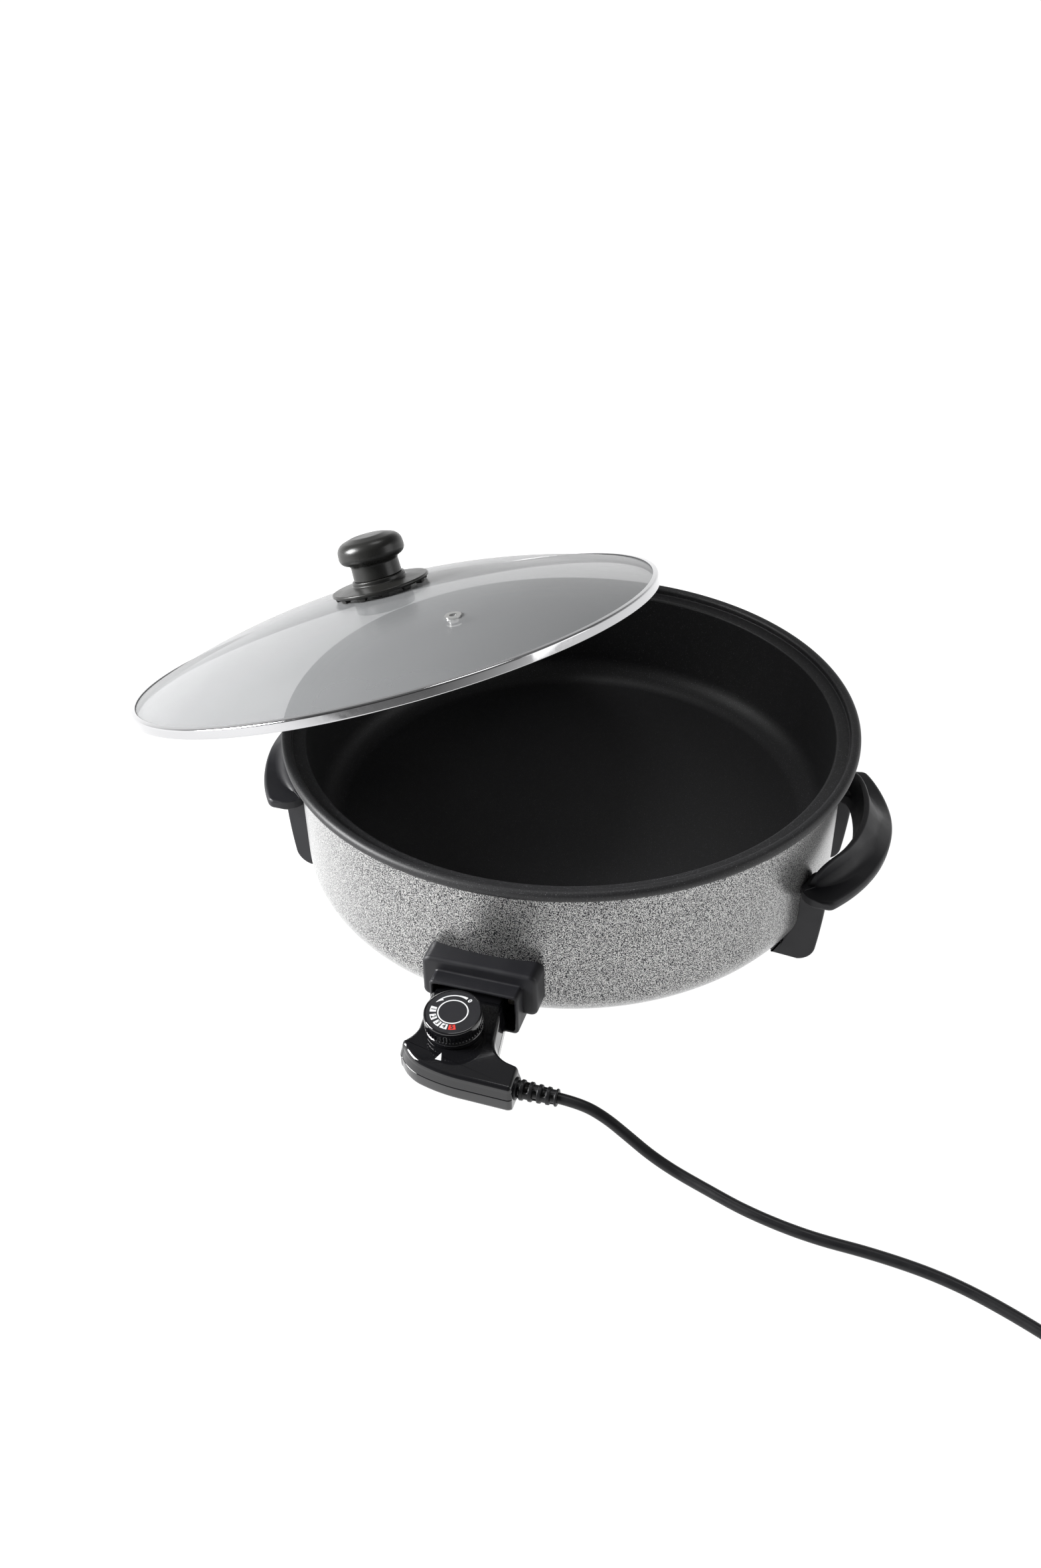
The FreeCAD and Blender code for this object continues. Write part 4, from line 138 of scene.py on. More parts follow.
# Teeth under the knob's plate: turn in degrees from a tooth's middle, and the share of its height there
TOOTH_COUNT = 12
TOOTH_TOP = 42.6
TOOTH_INNER = 29.2
TOOTH_SLICES = (
    (-4.6, 0.72), (-3.8, 0.95), (-3.0, 1.0), (0.0, 1.0), (3.0, 1.0), (3.8, 0.95), (4.6, 0.72),
)

# Control and dial
MOUTH = 218.0
FACE_HEIGHT = 50.5
FACE_SLOPE = 5.5
CONTROL_START = 218.3
CONTROL_FRONT = 282.6
CONTROL_END = 46.4
PLUG_X = -3.5
NECK_HALF = 24.2
NECK_CORNER = 3.0
PARTING = 36.0
PARTING_GAP = 0.15
SHELL_FLARE = 1.4
FACE_EDGE = 2.8
FACE_EDGE_DROP = 4.2
FACE_EDGE_STEPS = 10
TONGUE_HALF = 22.5
TONGUE_LOW = 29.0
TONGUE_HIGH = 49.5
DIAL_MIDDLE = (-3.0, -245.0)

# Strain relief, along the cord
BOOT_AXIS = (-272.5, 36.0)
BOOT_START = 43.8
BOOT_SUNK = 4.0
BOOT_END = 73.0
BOOT_CORE = 3.7

# Its ribs: middle and half of the thickness along the cord, and radius
BOOT_RIBS = [
    (45.9, 1.5, 7.3), (50.4, 1.15, 6.6), (56.0, 1.15, 6.3),
    (61.6, 1.15, 6.0), (67.1, 1.15, 5.7), (72.2, 0.75, 5.6),
]

# The webs between its ribs: half their width in degrees and how much wider they are at the ribs, their
# inner radius, and their slices as shares of their length
WEB_HALF = 31.0
WEB_FLARE = 20.0
WEB_INNER = 3.3
WEB_SLICES = (0.0, 0.12, 0.3, 0.5, 0.7, 0.88, 1.0)
WEB_STEPS = 6

# Flutes round the dial, and their depths from one to the next
FLUTES = 52
FLUTE_DEPTHS = (0.0, 0.0, 0.15, 0.55, 0.7, 0.55, 0.15, 0.0)

# The dial's side from its foot up: radius, height and share of the flutes' depth
DIAL_LEVELS = [
    (17.9, 0.4, 0.0), (18.4, 0.5, 0.0), (18.6, 0.9, 0.0), (18.6, 3.5, 0.0), (18.45, 3.85, 0.0),
    (18.0, 4.1, 0.0), (17.75, 4.3, 0.0), (17.75, 4.8, 0.0), (18.0, 5.0, 0.0), (18.45, 5.25, 0.0),
    (18.6, 5.6, 0.1), (18.6, 6.1, 1.0), (18.6, 10.2, 1.0), (18.6, 10.9, 0.7), (18.6, 11.3, 0.0),
    (18.6, 13.7, 0.0), (18.45, 14.35, 0.0), (18.1, 14.75, 0.0), (17.6, 14.9, 0.0),
    (17.35, 14.9, 0.0), (17.25, 14.75, 0.0), (17.25, 14.1, 0.0),
]

# Print on the dial, in its own frame: heights, radii, angles in degrees, and figures by radius and size.
# The arc swells from a fine tip between its first two angles, and its head lies between its last two.
DISC_RADIUS = 17.2
DISC_TOP = 14.7
PRINT_HEIGHT = 14.73
FIGURE_HEIGHT = PRINT_HEIGHT + 0.02
RING_RADII = (9.0, 9.8)
ARC_RADII = (12.9, 13.7)
ARC_ENDS = (160.0, 139.0, 93.0, 67.0)
BOX_RADII = (10.6, 14.6)
BOX_ANGLES = (-174.8, -146.8, -119.6, -96.5, -73.3)
BOX_HALF = 9.6
BOX_FIGURES = (12.6, 4.1)
ZERO_PLACE = (13.3, 56.6)
ZERO_SIZE = 3.9
FIGURE_BOLDNESS = 0.035

# Cord: the route on the table, and the coil of its spare length, as in the solid model
CORD_DIAMETER = 7.0
LEAD_ROUTE = [
    (73.0, -272.5, 36.0), (88.0, -272.7, 35.6), (103.0, -273.5, 29.4), (117.0, -275.0, 20.0),
    (132.0, -277.6, 10.8), (149.0, -281.5, 5.3), (168.5, -287.5, 3.8), (196.0, -297.5, 3.8),
    (233.0, -304.8, 3.8), (272.5, -305.8, 3.8), (312.5, -311.3, 3.8), (352.0, -325.4, 4.0),
]
TAIL_ROUTE = [
    (464.9, -311.3, 12.4), (470.6, -297.5, 15.0), (474.2, -282.5, 17.7), (475.0, -267.0, 18.3),
    (475.0, -252.0, 18.3),
]
COIL_MIDDLE = (417.5, -309.7)
COIL_HEIGHT = 4.5
COIL_OUTER = 43.0
COIL_PITCH = 7.5
COIL_START = -117.0
COIL_TURNS = 3.25
COIL_CLIMB = 180.0
COIL_POINTS = 24

# How finely shapes are divided, and the angles in degrees above which an edge is shaded as sharp
ROUND_STEPS = 6
STRAIGHT = 0.001
LATHE_STEPS = 288
SMALL_LATHE_STEPS = 96
SHARP = 38.0
SOFT_SHARP = 50.0
SOCKET_SHARP = 45.0
SAME_POINT = 2e-6

# A Mix node's colour sockets, which share their names with its other ones
MIX_A = 6
MIX_B = 7
MIX_RESULT = 2

# Lights: name, place, point faced, width and height, and power in watts
LIGHTS = [
    ("key", (-2.0, -0.8, 1.1), (0.0, 0.0, 0.08), (1.0, 1.1), 145.0),
    ("fill", (1.9, 0.1, 0.9), (0.0, 0.0, 0.08), (1.2, 1.0), 6.0),
    ("top", (-0.2, 0.6, 3.0), (0.0, 0.0, 0.1), (1.0, 0.8), 12.0),
]
FLOOR_HALF = 6.0
BACKDROP_RADIUS = 9.0
BACKDROP_HEIGHTS = (-0.5, 9.0)


# Shapes: each is a list of points and a list of faces

def rounded(corners, closed=True, steps=ROUND_STEPS):
    """Points along a path of (point, radius) corners, each corner rounded by an arc."""
    points = []
    last = len(corners) - 1
    for number, (corner, radius) in enumerate(corners):
        corner = Vector(corner)
        if radius == 0 or (not closed and number in (0, last)):
            points.append(corner)
            continue
        into = Vector(corners[number - 1][0]) - corner
        out = Vector(corners[(number + 1) % len(corners)][0]) - corner
        half = into.angle(out) / 2
        reach = min(radius / math.tan(half), 0.49 * into.length, 0.49 * out.length)
        inward = (into.normalized() + out.normalized()).normalized()
        middle = corner + inward * (reach / math.cos(half))
        start = corner + into.normalized() * reach - middle
        end = corner + out.normalized() * reach - middle
        sweep = start.angle(end, 0.0)
        if sweep < STRAIGHT:
            points += [corner.copy() for step in range(steps + 1)]
            continue
        for step in range(steps + 1):
            share = step / steps
            point = start * math.sin((1 - share) * sweep) + end * math.sin(share * sweep)
            points.append(middle + point / math.sin(sweep))
    return points


def offset(outline, distance):
    """A closed counter-clockwise outline moved outward by a distance."""
    grown = []
    count = len(outline)
    for number in range(count):
        before = outline[number - 1]
        point = outline[number]
        after = outline[(number + 1) % count]
        into = (point - before).normalized()
        out = (after - point).normalized()
        across = Vector((into.y + out.y, -into.x - out.x))
        grown.append(point + across * (distance / (1 + into.dot(out))))
    return grown


def skin(rings, capped=False, around=True):
    """A skin through rings that have the same number of points, with or without caps."""
    count = len(rings[0])
    points = [tuple(point) for ring in rings for point in ring]
    faces = []
    for row in range(len(rings) - 1):
        for column in range(count if around else count - 1):
            first = row * count + column
            second = row * count + (column + 1) % count
            faces.append((first, second, second + count, first + count))
    if capped:
        faces.append(tuple(range(count)))
        faces.append(tuple(range(len(points) - count, len(points))))
    return points, faces


def lathe(profile, closed=True, steps=LATHE_STEPS):
    """A profile of (radius, height) points turned about the Z axis."""
    rings = []
    for step in range(steps + 1):
        angle = 2 * math.pi * step / steps
        across, along = math.cos(angle), math.sin(angle)
        rings.append([(radius * across, radius * along, height) for radius, height in profile])
    return skin(rings, around=closed)


def merged(*shapes):
    """Several shapes as one."""
    points, faces = [], []
    for more_points, more_faces in shapes:
        base = len(points)
        points += more_points
        faces += [tuple(index + base for index in face) for face in more_faces]
    return points, faces


def moved(shape, matrix):
    """A shape put in another place."""
    points, faces = shape
    return [tuple(matrix @ Vector(point)) for point in points], faces


def mirrored(shape):
    """The same shape on the other side of the pan."""
    points, faces = shape
    return [(-x, y, z) for x, y, z in points], faces


def slab(outline, levels, place):
    """A thick plate: the outline grown by each level's amount, at each level's height."""
    rings = []
    for grown, height in levels:
        ring = offset(outline, grown) if grown else outline
        rings.append([place(point, height) for point in ring])
    return skin(rings, capped=True)


def edge_levels(low, high, radius, steps=4):
    """Levels of a plate whose two edges are rounded."""
    levels = []
    for step in range(steps + 1):
        angle = math.pi / 2 * step / steps
        levels.append((radius * (math.sin(angle) - 1), low + radius * (1 - math.cos(angle))))
    for step in range(steps + 1):
        angle = math.pi / 2 * step / steps
        levels.append((radius * (math.cos(angle) - 1), high - radius * (1 - math.sin(angle))))
    return levels


def new_object(name, data):
    """A new object in the scene."""
    thing = bpy.data.objects.new(name, data)
    bpy.context.scene.collection.objects.link(thing)
    return thing


def piece(name, shape, material, body, replaces=(), placement=None, sharp=SHARP):
    """Makes a mesh object from a shape in millimetres and lets it ride on a body."""
    points, faces = shape
    matrix = placement or Matrix.Identity(4)
    mesh = bpy.data.meshes.new(name)
    mesh.from_pydata([(matrix @ Vector(point)) * MM for point in points], [], faces)
    work = bmesh.new()
    work.from_mesh(mesh)
    bmesh.ops.remove_doubles(work, verts=work.verts, dist=SAME_POINT)
    bmesh.ops.recalc_face_normals(work, faces=work.faces)
    work.to_mesh(mesh)
    work.free()
    # Caps with many corners are flat and stay flat in shading
    smooth = [len(polygon.vertices) <= 4 for polygon in mesh.polygons]
    mesh.polygons.foreach_set("use_smooth", smooth)
    mesh.set_sharp_from_angle(angle=math.radians(sharp))
    mesh.materials.append(material)
    thing = new_object(name, mesh)
    thing.modifiers.new("even_shading", "WEIGHTED_NORMAL").keep_sharp = True
    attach(thing, body)
    if replaces:
        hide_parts(*replaces)


# Finishes

def finish(name, color, roughness, metallic=0.0, specular=0.5, coat=0.0, coat_roughness=0.05):
    """A plain principled material and its shader."""
    made = bpy.data.materials.new(name)
    made.use_nodes = True
    shader = made.node_tree.nodes["Principled BSDF"]
    shader.inputs["Base Color"].default_value = (*color, 1.0)
    shader.inputs["Roughness"].default_value = roughness
    shader.inputs["Metallic"].default_value = metallic
    shader.inputs["Specular IOR Level"].default_value = specular
    shader.inputs["Coat Weight"].default_value = coat
    shader.inputs["Coat Roughness"].default_value = coat_roughness
    return made, shader


def glowing(name, color, roughness, strength):
    """A matt material that gives off white light of its own."""
    made, shader = finish(name, color, roughness, specular=0.0)
    shader.inputs["Emission Color"].default_value = (1.0, 1.0, 1.0, 1.0)
    shader.inputs["Emission Strength"].default_value = strength
    return made


def noise(made, scale, detail=2.0, distortion=0.0):
    """A noise texture on the object's own coordinates."""
    nodes = made.node_tree.nodes
    links = made.node_tree.links
    place = nodes.new("ShaderNodeTexCoord")
    texture = nodes.new("ShaderNodeTexNoise")
    texture.inputs["Scale"].default_value = scale
    texture.inputs["Detail"].default_value = detail
    texture.inputs["Distortion"].default_value = distortion
    links.new(place.outputs["Object"], texture.inputs["Vector"])
    return texture


def ramp(made, source, stops):
    """A colour ramp on a texture's value."""
    node = made.node_tree.nodes.new("ShaderNodeValToRGB")
    elements = node.color_ramp.elements
    while len(elements) < len(stops):
        elements.new(0.5)
    for element, (position, shade) in zip(elements, stops):
        element.position = position
        element.color = (*shade, 1.0) if isinstance(shade, tuple) else (shade, shade, shade, 1.0)
    made.node_tree.links.new(source, node.inputs["Fac"])
    return node


def bumped(made, shader, source, strength, distance):
    """Adds relief from a texture to a shader."""
    node = made.node_tree.nodes.new("ShaderNodeBump")
    node.inputs["Strength"].default_value = strength
    node.inputs["Distance"].default_value = distance
    made.node_tree.links.new(source, node.inputs["Height"])
    made.node_tree.links.new(node.outputs["Normal"], shader.inputs["Normal"])


def varied(made, shader, scale, low, high):
    """Lets the roughness wander a little over the surface."""
    texture = noise(made, scale, 3.0)
    node = ramp(made, texture.outputs["Fac"], [(0.35, low), (0.65, high)])
    made.node_tree.links.new(node.outputs["Color"], shader.inputs["Roughness"])


def veiled(made, shader, texture, low, high):
    """Lets the surface be see-through, a little more in some places than in others."""
    node = ramp(made, texture.outputs["Fac"], [(0.3, low), (0.7, high)])
    made.node_tree.links.new(node.outputs["Color"], shader.inputs["Alpha"])


def color_mix(made, blend="MIX"):
    """A node that mixes two colours."""
    node = made.node_tree.nodes.new("ShaderNodeMix")
    node.data_type = "RGBA"
    node.blend_type = blend
    return node


def hammered_paint():
    """Silver paint in small worm-like flecks over a black ground, with a painted sheen that turns its
    colour paler where it is seen at a slant.
    """
    made, shader = finish("hammered_paint", (0.5, 0.5, 0.5), 0.30, metallic=0.75, coat=0.35,
                          coat_roughness=0.22)
    texture = noise(made, 1650.0, 0.0, 0.5)
    shade = ramp(made, texture.outputs["Fac"], [
        (0.40, (0.006, 0.006, 0.010)), (0.48, (0.10, 0.10, 0.105)), (0.56, (0.56, 0.56, 0.55)),
    ])
    # Painted sheen: the base colour is mixed toward pale grey where the surface is seen at a slant
    slant = made.node_tree.nodes.new("ShaderNodeLayerWeight")
    painted_sheen = ramp(made, slant.outputs["Facing"], [(0.50, 0.0), (0.95, 0.50)])
    mix = color_mix(made)
    mix.inputs[MIX_B].default_value = (0.56, 0.56, 0.565, 1.0)
    made.node_tree.links.new(painted_sheen.outputs["Color"], mix.inputs["Factor"])
    made.node_tree.links.new(shade.outputs["Color"], mix.inputs[MIX_A])
    made.node_tree.links.new(mix.outputs[MIX_RESULT], shader.inputs["Base Color"])
    bumped(made, shader, texture.outputs["Fac"], 0.25, 0.0002)
    return made


def pan_coating():
    """Black non-stick coating with a fine sparkle."""
    made, shader = finish("pan_coating", (0.012, 0.012, 0.013), 0.50, specular=0.45)
    flecks = noise(made, 1900.0, 1.0)
    shade = ramp(made, flecks.outputs["Fac"], [
        (0.62, (0.011, 0.011, 0.012)), (0.72, (0.06, 0.06, 0.065)), (0.80, (0.22, 0.22, 0.23)),
    ])
    made.node_tree.links.new(shade.outputs["Color"], shader.inputs["Base Color"])
    grain = noise(made, 700.0, 4.0)
    bumped(made, shader, grain.outputs["Fac"], 0.12, 0.0002)
    return made


def satin_plastic(name="satin_black", color=(0.010, 0.010, 0.0125), rough=(0.42, 0.52)):
    """Black moulded plastic with a fine spark-eroded grain."""
    made, shader = finish(name, color, rough[0], specular=0.40)
    varied(made, shader, 60.0, *rough)
    grain = noise(made, 2600.0, 2.0)
    bumped(made, shader, grain.outputs["Fac"], 0.10, 0.0001)
    return made


def gloss_plastic():
    """Polished black plastic."""
    made, shader = finish("gloss_black", (0.006, 0.006, 0.007), 0.07, specular=0.55, coat=0.4,
                          coat_roughness=0.03)
    ripple = noise(made, 45.0, 2.0)
    bumped(made, shader, ripple.outputs["Fac"], 0.04, 0.0006)
    return made


def polished_steel(name="polished_steel", rough=(0.10, 0.18), color=(0.74, 0.74, 0.73)):
    """Bright steel with faint polishing marks."""
    made, shader = finish(name, color, rough[0], metallic=1.0)
    varied(made, shader, 220.0, *rough)
    return made


def lid_glass():
    """Tempered glass, greyish and a little misted."""
    made, shader = finish("lid_glass", (0.235, 0.24, 0.245), 0.24, specular=0.6)
    veiled(made, shader, noise(made, 7.0, 3.0, 0.6), 0.60, 0.68)
    return made


def misty_plastic():
    """Translucent moulded plastic."""
    made, shader = finish("misty_plastic", (0.50, 0.51, 0.52), 0.3)
    veiled(made, shader, noise(made, 30.0), 0.62, 0.72)
    return made


def cord_sheath():
    """Black rubbery sheath of the cord."""
    made, shader = finish("cord_sheath", (0.008, 0.008, 0.009), 0.38, specular=0.3)
    varied(made, shader, 90.0, 0.34, 0.46)
    return made


def plain_metal(name, color, rough):
    """Unpolished metal of the hidden pieces."""
    made, shader = finish(name, color, rough, metallic=1.0)
    varied(made, shader, 160.0, rough - 0.06, rough + 0.08)
    return made


def ceramic():
    """Pale insulating moulding."""
    made, shader = finish("ceramic", (0.62, 0.58, 0.50), 0.6)
    varied(made, shader, 80.0, 0.52, 0.68)
    return made


def print_ink(name, color):
    """Ink of the printed figures."""
    made, shader = finish(name, color, 0.45)
    varied(made, shader, 400.0, 0.4, 0.5)
    return made


PAINT = hammered_paint()
COATING = pan_coating()
SATIN = satin_plastic()
KNOB_BLACK = satin_plastic("knob_black", (0.016, 0.016, 0.015), (0.26, 0.34))
GLOSS = gloss_plastic()
STEEL = polished_steel()
BAND_STEEL = polished_steel("band_steel", (0.07, 0.13), (0.56, 0.56, 0.57))
PLAIN_STEEL = plain_metal("plain_steel", (0.52, 0.51, 0.50), 0.38)
ALUMINIUM = plain_metal("rolled_aluminium", (0.70, 0.70, 0.71), 0.34)
BRASS = plain_metal("pin_brass", (0.66, 0.55, 0.32), 0.28)
GLASS = lid_glass()
MISTY = misty_plastic()
SHEATH = cord_sheath()
CERAMIC = ceramic()
RUBBER = satin_plastic("seal_rubber", (0.03, 0.03, 0.03), (0.6, 0.7))
WHITE_INK = print_ink("white_ink", (0.72, 0.73, 0.74))
RED_INK = print_ink("red_ink", (0.62, 0.03, 0.02))
BLACK_INK = print_ink("black_ink", (0.012, 0.012, 0.012))


# Pan and jacket

def jacket_radius(height):
    """Outside radius of the jacket's wall at a height."""
    if height < JACKET_BASE + JACKET_CORNER:
        drop = JACKET_BASE + JACKET_CORNER - max(height, JACKET_BASE)
        flat = JACKET_RADIUS - JACKET_TAPER - JACKET_CORNER
        return flat + math.sqrt(max(JACKET_CORNER ** 2 - drop ** 2, 0.0))
    share = (JACKET_TOP - height) / (JACKET_TOP - JACKET_BASE - JACKET_CORNER)
    return JACKET_RADIUS - JACKET_TAPER * max(share, 0.0)


def make_pan():
    """The coated pan with its rolled rim, and the painted jacket."""
    profile = rounded([
        ((0.0, PAN_UNDER), 0), ((185.6, PAN_UNDER), 21.0), ((191.0, JACKET_TOP), 0),
        ((197.9, JACKET_TOP), 0.6), ((198.6, RIM_UNDER), 0.6), ((RIM_RADIUS, RIM_UNDER), 3.6),
        ((RIM_RADIUS, RIM_TOP), 3.6), ((LEDGE_RADIUS, RIM_TOP), 3.4), ((LEDGE_RADIUS, LEDGE_HEIGHT), 0.8),
        ((188.1, LEDGE_HEIGHT), 2.2), ((182.7, PAN_FLOOR), 18.0), ((0.0, PAN_FLOOR), 0),
    ], closed=False)
    floor_rings = [(radius, PAN_FLOOR) for radius in (150.0, 110.0, 60.0)]
    profile = profile[:-1] + floor_rings + profile[-1:]
    piece("pan", lathe(profile, closed=False), COATING, "stand", ["inner_pan"])
    inside = JACKET_BASE + JACKET_THICK
    wall = rounded([
        ((JACKET_OPENING, JACKET_BASE), 0.3), ((JACKET_FOOT_RADIUS, JACKET_BASE), JACKET_CORNER),
        ((JACKET_RADIUS, JACKET_TOP), 0), ((JACKET_RADIUS - JACKET_THICK, JACKET_TOP), 0),
        ((JACKET_FOOT_RADIUS - JACKET_THICK, inside), JACKET_CORNER - JACKET_THICK),
        ((JACKET_OPENING, inside), 0.3),
    ], steps=JACKET_STEPS)
    piece("jacket", lathe(wall), PAINT, "stand", ["outer_jacket"])


# Grips and legs

def clamped(value):
    """A value kept between 0 and 1."""
    return min(max(value, 0.0), 1.0)


def eased(share):
    """A share that starts and ends gently."""
    return share * share * (3 - 2 * share)


def passed(away, change):
    """How far a change along the grip has gone, as a share that isn't kept below 1."""
    start, length = change
    return max(away - start, 0.0) / length


def grip_section(y):
    """Outline of a grip's cross-section at a distance along it, from its inner lower corner upward."""
    away = abs(y)

    def curve(apex, radius, at=away):
        return apex - radius + math.sqrt(radius * radius - at * at)

    into_corner = max(away - (GRIP_HALF - GRIP_ROUND), 0.0)
    corner_reach = math.sqrt(max(GRIP_ROUND ** 2 - into_corner ** 2, 0.0))
    outer = curve(GRIP_APEX, GRIP_APEX_CURVE) - GRIP_ROUND + corner_reach
    crest = curve(GRIP_CREST, GRIP_CREST_CURVE) - FIN_DRAW * passed(away, FIN_DRAWN_IN) ** 2
    fallen = clamped(passed(away, FIN_FALLS))
    crest_low = GRIP_PAD + 0.4
    crest_height = crest_low + (GRIP_TOP - crest_low) * math.sqrt(1 - fallen ** 3)
    faded = eased(clamped(passed(away, HOLLOW_FADES)))
    hollow = crest + 0.45 * (outer - crest) * (1 - faded) + 0.4 * faded
    hollow_height = GRIP_DISH + (GRIP_PAD - GRIP_DISH) * faded
    padded = clamped(passed(away, PAD_WIDENS))
    under_inner = GRIP_UNDER - GRIP_BELLY * (1 - clamped(passed(away, UNDERSIDE_LEVELS)) ** 2)
    inner = curve(GRIP_INNER, GRIP_INNER_CURVE)
    crest_inner = crest - FIN_THICK

    def inner_side(height):
        return inner + (crest_inner - inner) * (height - under_inner) / (crest_height - under_inner)

    buried = JACKET_RADIUS - JACKET_CORNER
    foot = GRIP_PAD + 2.0 * (1 - padded)
    foot_x = inner_side(foot) * (1 - padded) + (crest_inner - 1.0) * padded
    pad_x = inner_side(GRIP_PAD) * (1 - padded) + buried * padded
    corners = [
        (inner * (1 - padded) + buried * padded, under_inner, 1.2), (pad_x, GRIP_PAD, 1.0),
        (foot_x, foot, 1.4), (crest_inner, crest_height, 1.5), (crest, crest_height, 1.9),
        (hollow, hollow_height, 30.0),
    ]
    start = GRIP_HALF - NOSE_LENGTH
    if away > start:
        # The end pad leaves the jacket in a round nose
        nose = curve(GRIP_APEX, GRIP_APEX_CURVE, GRIP_HALF) - GRIP_ROUND - 4.0
        along = (away - start) / NOSE_LENGTH
        wall = math.sqrt(JACKET_RADIUS ** 2 - start ** 2)
        reach = nose - math.sqrt(max(1 - along * along, 0.0)) * (nose - wall)
        corners = [
            (max(x, reach + 0.4 * number), z, radius) for number, (x, z, radius) in enumerate(corners)
        ]
    corners += [(outer, GRIP_EDGE, 3.2), (outer - 1.0, GRIP_UNDER, 3.0)]
    # No corner lies inside the jacket, and no two lie on the same spot
    clear = []
    for number, (x, z, radius) in enumerate(corners):
        wall = math.sqrt(jacket_radius(z) ** 2 - y * y) + SEAT
        clear.append(((max(x, wall + 0.02 * number), z), radius))
    return rounded(clear)


def grip_shape():
    """Skin of the right grip, with both ends rounded over."""
    # Sections from the middle outward, closest together where the fin meets the end pad
    reach = [step * 4.0 for step in range(11)]
    reach += [44.0 + step * 1.5 for step in range(1, 12)]
    reach += [61.5, 62.3, 63.0, 63.5, 63.9, 64.2, 64.4, 64.6]
    reach += [65.5, 66.5, 67.2, 68.0, 69.0, 70.5, 72.0, 73.5, 75.0, 76.0]
    straight = GRIP_HALF - GRIP_LIP
    middle = (GRIP_UNDER + GRIP_EDGE) / 2
    half = (GRIP_EDGE - GRIP_UNDER) / 2
    turns = [math.radians(turn) for turn in range(0, 91, 15)]
    stations = [(y, 0.0) for y in reach]
    stations += [(straight + GRIP_LIP * math.sin(turn), turn) for turn in turns]
    rings = []
    for y, turn in [(-y, turn) for y, turn in reversed(stations[1:])] + stations:
        squeeze = 1 - GRIP_LIP * (1 - math.cos(turn)) / half
        section = grip_section(y)
        rings.append([(point.x, y, middle + (point.y - middle) * squeeze) for point in section])
    return skin(rings, capped=True)


def make_grips():
    """Both side grips."""
    shape = grip_shape()
    piece("grip_right", shape, SATIN, "stand", ["handle_right"], sharp=SOFT_SHARP)
    piece("grip_left", mirrored(shape), SATIN, "stand", ["handle_left"], sharp=SOFT_SHARP)


def leg_shape(start):
    """A right leg whose near side is at start along Y: an upright that lies on the jacket, and its foot."""
    top = GRIP_UNDER - 0.1
    below_base = JACKET_BASE - 0.1
    ankle = Vector((196.4, 13.0))
    outline = arc_points(Vector((FOOT_REACH, 0.0)), ankle, 14.0, 1)
    outline += arc_points(ankle, Vector((LEG_OUTER, top)), 400.0, 1)
    outline += rounded([
        ((200.0, 55.0), 0), ((LEG_OUTER, top), 1.7), ((181.0, top), 1.7), ((181.0, 55.0), 0),
    ], closed=False, steps=2)[1:-1]
    # Points that place pushes out to the jacket's round corner
    seat_heights = (54.0, 48.0, 43.0, 38.6, 35.0, 31.0, 27.0, 24.0, 21.0)
    outline += [Vector((LEG_INNER, height)) for height in seat_heights]
    outline += rounded([
        ((LEG_INNER, 18.0), 2.0), ((168.0, below_base), 1.0), ((145.0, below_base), 1.6),
        ((145.0, FOOT_THICK), 1.6), ((166.0, FOOT_THICK), 1.0), ((166.0, 0.0), 1.6),
    ], steps=3)

    def place(point, height):
        x = point.x
        if point.y > JACKET_BASE:
            x = max(x, math.sqrt(jacket_radius(point.y) ** 2 - height ** 2) + SEAT)
        return x, height, point.y

    return slab(outline, edge_levels(start, start + LEG_WIDTH, LEG_EDGE), place)


def make_legs():
    """The four legs."""
    for end, start in (("front", -LEG_START - LEG_WIDTH), ("rear", LEG_START)):
        shape = leg_shape(start)
        piece("foot_right_" + end, shape, SATIN, "stand", ["leg_%s_right" % end])
        piece("foot_left_" + end, mirrored(shape), SATIN, "stand", ["leg_%s_left" % end])


# Socket housing

def box_outline(left, right, low, high, radius):
    """A rectangle with round corners, counter-clockwise."""
    return rounded([
        ((left, low), radius), ((right, low), radius), ((right, high), radius), ((left, high), radius),
    ])


def housing_outline(inset):
    """The flange with the collar's lower part, from the front, its edge drawn in by an amount."""
    side = FLANGE_HALF - inset
    low = FLANGE_LOW + inset
    high = FLANGE_HIGH - inset
    corner = FLANGE_CORNER - inset
    return rounded([
        ((-side, low), corner), ((-COLLAR_HALF, low), CREASE),
        ((-COLLAR_HALF, COLLAR_LOW), COLLAR_CORNER), ((COLLAR_HALF, COLLAR_LOW), COLLAR_CORNER),
        ((COLLAR_HALF, low), CREASE), ((side, low), corner), ((side, high), corner),
        ((-side, high), corner),
    ])


def collar_ring(inset, raised=0.0):
    """The collar from the front, with as many points as the flange has."""
    side = COLLAR_HALF - inset
    low = COLLAR_LOW + inset
    high = COLLAR_HIGH - inset + raised
    corner = COLLAR_CORNER - inset / 2
    above, below = 38.0, 35.0
    return rounded([
        ((-side, above), CREASE), ((-side, below), CREASE), ((-side, low), corner), ((side, low), corner),
        ((side, below), CREASE), ((side, above), CREASE), ((side, high), corner), ((-side, high), corner),
    ])


